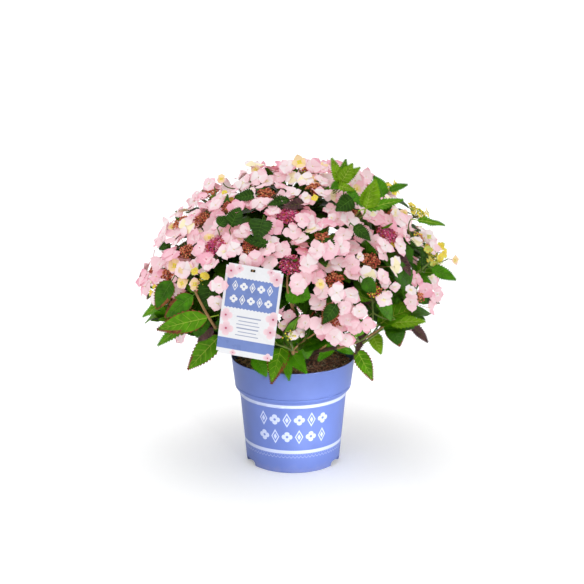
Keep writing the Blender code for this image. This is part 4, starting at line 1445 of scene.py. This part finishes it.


# Soil: a rough bed with bark chips on it

soil = {
    "profile": (
        (950, 1500), (1020, 1510), (1085, 1700), (1102, 1820), (1096, 1842), (1060, 1852), (1010, 1858),
        (950, 1862), (880, 1864), (800, 1866), (710, 1868), (610, 1870), (500, 1872), (380, 1874), (250, 1876),
        (120, 1876), (30, 1876),
    ),
    "sides": 110,
    "smooth": 0.1855,  # below this height
    "rough": 0.0045,
    "grain": 0.007,
    "chips": 1500,
    "chipLong": (0.004, 0.014),
    "chipWide": (0.0014, 0.0042),
    "chipThick": (0.0006, 0.0018),
    "chipSmall": 0.5,  # size of two in three
    "chipLift": (-0.0012, 0.0016),
    "chipTilt": (0.28, 0.4),  # along and across, in radians
    "chipBow": 0.3,
    "chipEnds": 0.55,  # width at its two ends
    "chipUneven": (0.75, 1.15),
    "chipRagged": 0.1,
    "top": 0.1872,
    "edge": 0.1075,
    "chipEdge": 0.1095,
    "tints": {
        "peatDark": (0.280, 0.130, 0.088),
        "chipsDark": (0.470, 0.225, 0.150),
        "chipsRed": (0.770, 0.410, 0.280),
        "chipsPale": (0.850, 0.600, 0.450),
    },
    "shares": (0.42, 0.86),  # of dark chips, and of dark and red ones
}


def makeSoilBed():
    bed = thrown("soilBed", soil["profile"], soil["sides"])
    group = bed.vertex_groups.new(name="top")
    group.add([vert.index for vert in bed.data.vertices if vert.co.z > soil["smooth"]], 1, "REPLACE")
    crumbs = bpy.data.textures.new("crumbs", "CLOUDS")
    crumbs.noise_scale, crumbs.noise_depth = soil["grain"], 3
    modify(bed, "DISPLACE", texture=crumbs, texture_coords="OBJECT", direction="Z", vertex_group="top",
           strength=soil["rough"], mid_level=0.6)
    applyAll(bed)
    smoothed(bed, 60)
    finished(bed, mottled("peatDark", soil["tints"]["peatDark"], 0.95, 220, 0.5, 900), ("soil",))


def addChip(batches, draw, number):
    angle, far = draw.uniform(0, fullTurn), soil["edge"] * math.sqrt(draw.random())
    long = draw.uniform(*soil["chipLong"]) * (soil["chipSmall"] if number % 3 else 1)
    far = min(far, soil["chipEdge"] - long / 2)
    height = soil["top"] + draw.uniform(*soil["chipLift"])
    centre = Vector((far * math.cos(angle), far * math.sin(angle), height))
    pitch, roll = soil["chipTilt"]
    turn = Matrix.Rotation(draw.uniform(0, 6.28), 3, "Z") @ Matrix.Rotation(draw.gauss(0, pitch), 3, "Y")
    turn = turn @ Matrix.Rotation(draw.gauss(0, roll), 3, "X")
    wide, thick = draw.uniform(*soil["chipWide"]), draw.uniform(*soil["chipThick"])
    corners = []
    for end in (-1, 0, 1):
        bow = draw.uniform(-soil["chipBow"], soil["chipBow"]) * thick
        for a, b in ((-1, -1), (1, -1), (1, 1), (-1, 1)):
            narrow = (soil["chipEnds"] if end else 1) * draw.uniform(*soil["chipUneven"])
            ragged = draw.uniform(-soil["chipRagged"], soil["chipRagged"]) * long
            point = Vector((end * long / 2 + ragged, a * wide / 2 * narrow, b * thick / 2 * narrow + bow))
            corners.append(tuple(centre + turn @ point))
    share = draw.random()
    dark, red = soil["shares"]
    batches["chipsDark" if share < dark else "chipsRed" if share < red else "chipsPale"].add(corners, sleeve(3, 4))


def makeSoil():
    makeSoilBed()
    draw = random.Random(4)
    batches = defaultdict(Batch)
    for i in range(soil["chips"]):
        addChip(batches, draw, i)
    for tint, batch in batches.items():
        pieceFrom(batch, tint, mottled(tint, soil["tints"][tint], 0.85, 300, 0.35, 1200), (), False)


makeSoil()
print("soil is laid")


# Wood: the root crown and the boughs, with ridged bark

wood = {
    # the root crown: radii and heights of its foot, then angles up its dome
    "foot": ((0.031, 0.1862), (0.031, 0.1880), (0.028, 0.1900)),
    "dome": (8, 20, 32, 44, 56, 68, 80),
    "lobes": 5,
    "lobeProud": (0.13, 0.05),  # of the foot and of the dome
    "domeRidge": 0.05,
    "sides": 40,
    "boughSides": 14,
    "boughRows": 40,
    "ridge": 0.10,
    "joint": 0.16,
    "colour": (0.115, 0.062, 0.036),
    "dark": (0.035, 0.018, 0.012),
}


def barkFinish(name):
    finish = Finish(name, wood["colour"], 0.78)
    flecks, patches = finish.cloud(320, 4, 0.35), finish.cloud(60, 2, 0.35)
    mix = patches * 0.5 + flecks * 0.5
    finish.feed("Base Color", finish.blend(mix, shade(wood["dark"]), shade(wood["colour"])))
    finish.feed("Roughness", 0.70 + 0.18 * flecks)
    finish.bump(480, 4, 0.5, 0.0006)
    return finish.material


def barkReach(draw):
    # how far bark stands out: in ridges along a limb, with swollen joints
    ridges = [draw.uniform(-1, 1) for _ in range(wood["boughSides"])]

    def reach(i, k, radius):
        knot = 1 + wood["joint"] * math.exp(-(((i % 11) - 5) / 1.3) ** 2)
        ridges[k] = 0.8 * ridges[k] + 0.45 * draw.uniform(-1, 1)
        return radius * knot * (1 + wood["ridge"] * max(-1, min(1, ridges[k])))

    return reach


def makeWood():
    draw = random.Random(7)
    sides, domeRadius = wood["sides"], crown["domeRadius"]
    rows = list(wood["foot"])
    rows += [(domeRadius * math.cos(a), heart.z + domeRadius * math.sin(a)) for a in map(math.radians, wood["dome"])]
    points = []
    ridges = [draw.uniform(-1, 1) for _ in range(sides)]
    for i, (radius, height) in enumerate(rows):
        for k in range(sides):
            ridges[k] = 0.75 * ridges[k] + 0.4 * draw.uniform(-1, 1)
            t = fullTurn * k / sides
            proud = wood["lobeProud"][i >= len(wood["foot"])]
            lobe = 1 + proud * math.sin(wood["lobes"] * t) + wood["domeRidge"] * ridges[k]
            points.append((radius * lobe * math.cos(t), radius * lobe * math.sin(t), height))
    dome = Batch()
    dome.add(points, sleeve(len(rows), sides))
    pieceFrom(dome, "rootCrown", barkFinish("barkCrown"), ("root_crown",))
    limbs = Batch()
    for bough in layOutBoughs():
        line = [pointAt(bough.limb, i / (wood["boughRows"] - 1))[0] for i in range(wood["boughRows"])]
        line[0] = line[0] - bough.axis * 0.004
        tube(limbs, line, crown["caneRadii"], wood["boughSides"], None, barkReach(draw))
    canes = [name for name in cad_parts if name.startswith("cane_")]
    pieceFrom(limbs, "boughs", barkFinish("barkBoughs"), canes)


# Hanging card: the frame's own card, printed on its front

cardPrint = {
    "white": (0.760, 0.765, 0.790),
    "blue": (0.150, 0.220, 0.500),
    "panel": (0.0035, 0.0560),
    "panelHalf": 0.0445,
    "wave": (0.0060, 0.0007),  # length and height of the waves along the panel's edges
    "foot": (-0.0690, -0.0500),
    # ornaments: the heights of their rows, a cell and how far they reach
    "rows": (0.0420, 0.0190),
    "cell": 0.0150,
    "reach": 0.0375,
    "lozenge": (0.0052, 0.0092),
    "flower": 0.0068,
    # plain rules: height, half their length and half their thickness, in tenths of a millimetre
    "rules": ((-105, 210, 11), (-175, 170, 7), (-235, 200, 7), (-300, 190, 11), (-365, 160, 7), (-425, 200, 7)),
    "ruleColour": (0.200, 0.240, 0.400),
    # flowers: across, up and radius, in tenths of a millimetre
    "flowers": ((-400, 660, 130), (-260, 720, 75), (390, 630, 125), (280, 735, 70), (-400, -110, 120),
                (-370, -340, 130), (415, -60, 130), (395, -290, 120), (405, -740, 80), (-200, -745, 55)),
    "petal": (0.700, 0.430, 0.500),
    "petalEdge": (0.840, 0.640, 0.680),
    "eye": (0.420, 0.040, 0.100),
}


def cardFinish():
    look = cardPrint
    white = shade(look["white"])
    finish = Finish("printedCard", look["white"], 0.30, {"Specular IOR Level": 0.4})
    lean = cardMatrix().to_euler()
    sockets = {"Vector": finish.place(), "Location": tuple(card["centre"]), "Rotation": tuple(lean)}
    x, y, z = finish.parts(finish.node("ShaderNodeMapping", {"vector_type": "TEXTURE"}, sockets))
    waveLength, waveHeight = look["wave"]
    wave = (x * (fullTurn / waveLength)).sine() * waveHeight
    panel = finish.within(z + wave, *look["panel"]) * finish.under(x.absolute(), look["panelHalf"])
    marks = finish.ornaments(x, z, look, look["cell"], 0.0002)
    cloud = finish.cloud(30)
    blue = finish.blend(cloud, shade(look["blue"], 0.9), shade(look["blue"], 1.12))
    colour = finish.blend(cloud, shade(look["white"], 0.97), shade(look["white"], 1.02))
    for height, half, thick in np.array(look["rules"]) / 10000:
        line = finish.within(z, height - thick, height + thick) * finish.under(x.absolute(), half)
        colour = finish.blend(line * 0.85, colour, shade(look["ruleColour"]))
    colour = finish.blend(finish.spread(panel + finish.within(z, *look["foot"]), 0, 1), colour, blue)
    colour = finish.blend(finish.spread(marks, 0, 1), colour, white)
    for across, height, radius in np.array(look["flowers"]) / 10000:
        flower, away = finish.petals(x - across, z - height, radius)
        petal = finish.blend(finish.spread(away, 0.1, 1), shade(look["petal"]), shade(look["petalEdge"]))
        colour = finish.blend(flower, colour, petal)
        colour = finish.blend(finish.under(away, 0.14, 0.04), colour, shade(look["eye"]))
    finish.feed("Base Color", finish.blend(finish.under(y, 0, 0.0001), white, colour))
    finish.feed("Roughness", 0.24 + 0.10 * cloud)
    finish.bump(200, 2, 0.05, 0.0002)
    return finish.material


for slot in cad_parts["hanging_card"].material_slots:
    slot.material = cardFinish()
print("card is printed")

makeWood()
print("boughs are grown")
makeCrown()
print("crown is grown")


# Studio


def makeStudio():
    bpy.ops.mesh.primitive_plane_add(size=studio["floorSize"])
    floor = bpy.context.object
    floor.name = "floor"
    glow = {"Emission Color": (1, 1, 1, 1), "Emission Strength": studio["floorGlow"]}
    floor.data.materials.append(Finish("floor", studio["floorColour"], 0.9, glow).material)
    world = bpy.data.worlds.new("studio")
    world.use_nodes = True
    background = world.node_tree.nodes["Background"]
    background.inputs["Color"].default_value = (1, 1, 1, 1)
    background.inputs["Strength"].default_value = studio["ambient"]
    bpy.context.scene.world = world
    sunData = bpy.data.lights.new("sun", "SUN")
    sunData.energy = studio["sun"]
    sunData.angle = math.radians(studio["sunAngle"])
    linked("sun", sunData).rotation_euler = Vector(studio["sunFrom"]).to_track_quat("Z", "Y").to_euler()
    lampData = bpy.data.lights.new("potLight", "AREA")
    lampData.size = studio["lampSize"]
    lampData.spread = math.radians(studio["lampSpread"])
    lampData.energy = studio["lampWatts"]
    lamp = linked("potLight", lampData)
    lamp.location = studio["lampPlace"]
    way = Vector(studio["lampTarget"]) - Vector(studio["lampPlace"])
    lamp.rotation_euler = way.to_track_quat("-Z", "Y").to_euler()
    lens = bpy.data.cameras.new("camera")
    lens.lens = camera["lens"]
    eye = linked("camera", lens)
    eye.location = camera["place"]
    eye.rotation_euler = (math.radians(90 - camera["pitch"]), 0, 0)
    bpy.context.scene.camera = eye
    bpy.context.scene.view_settings.view_transform = "Standard"


makeStudio()
print("studio is set")
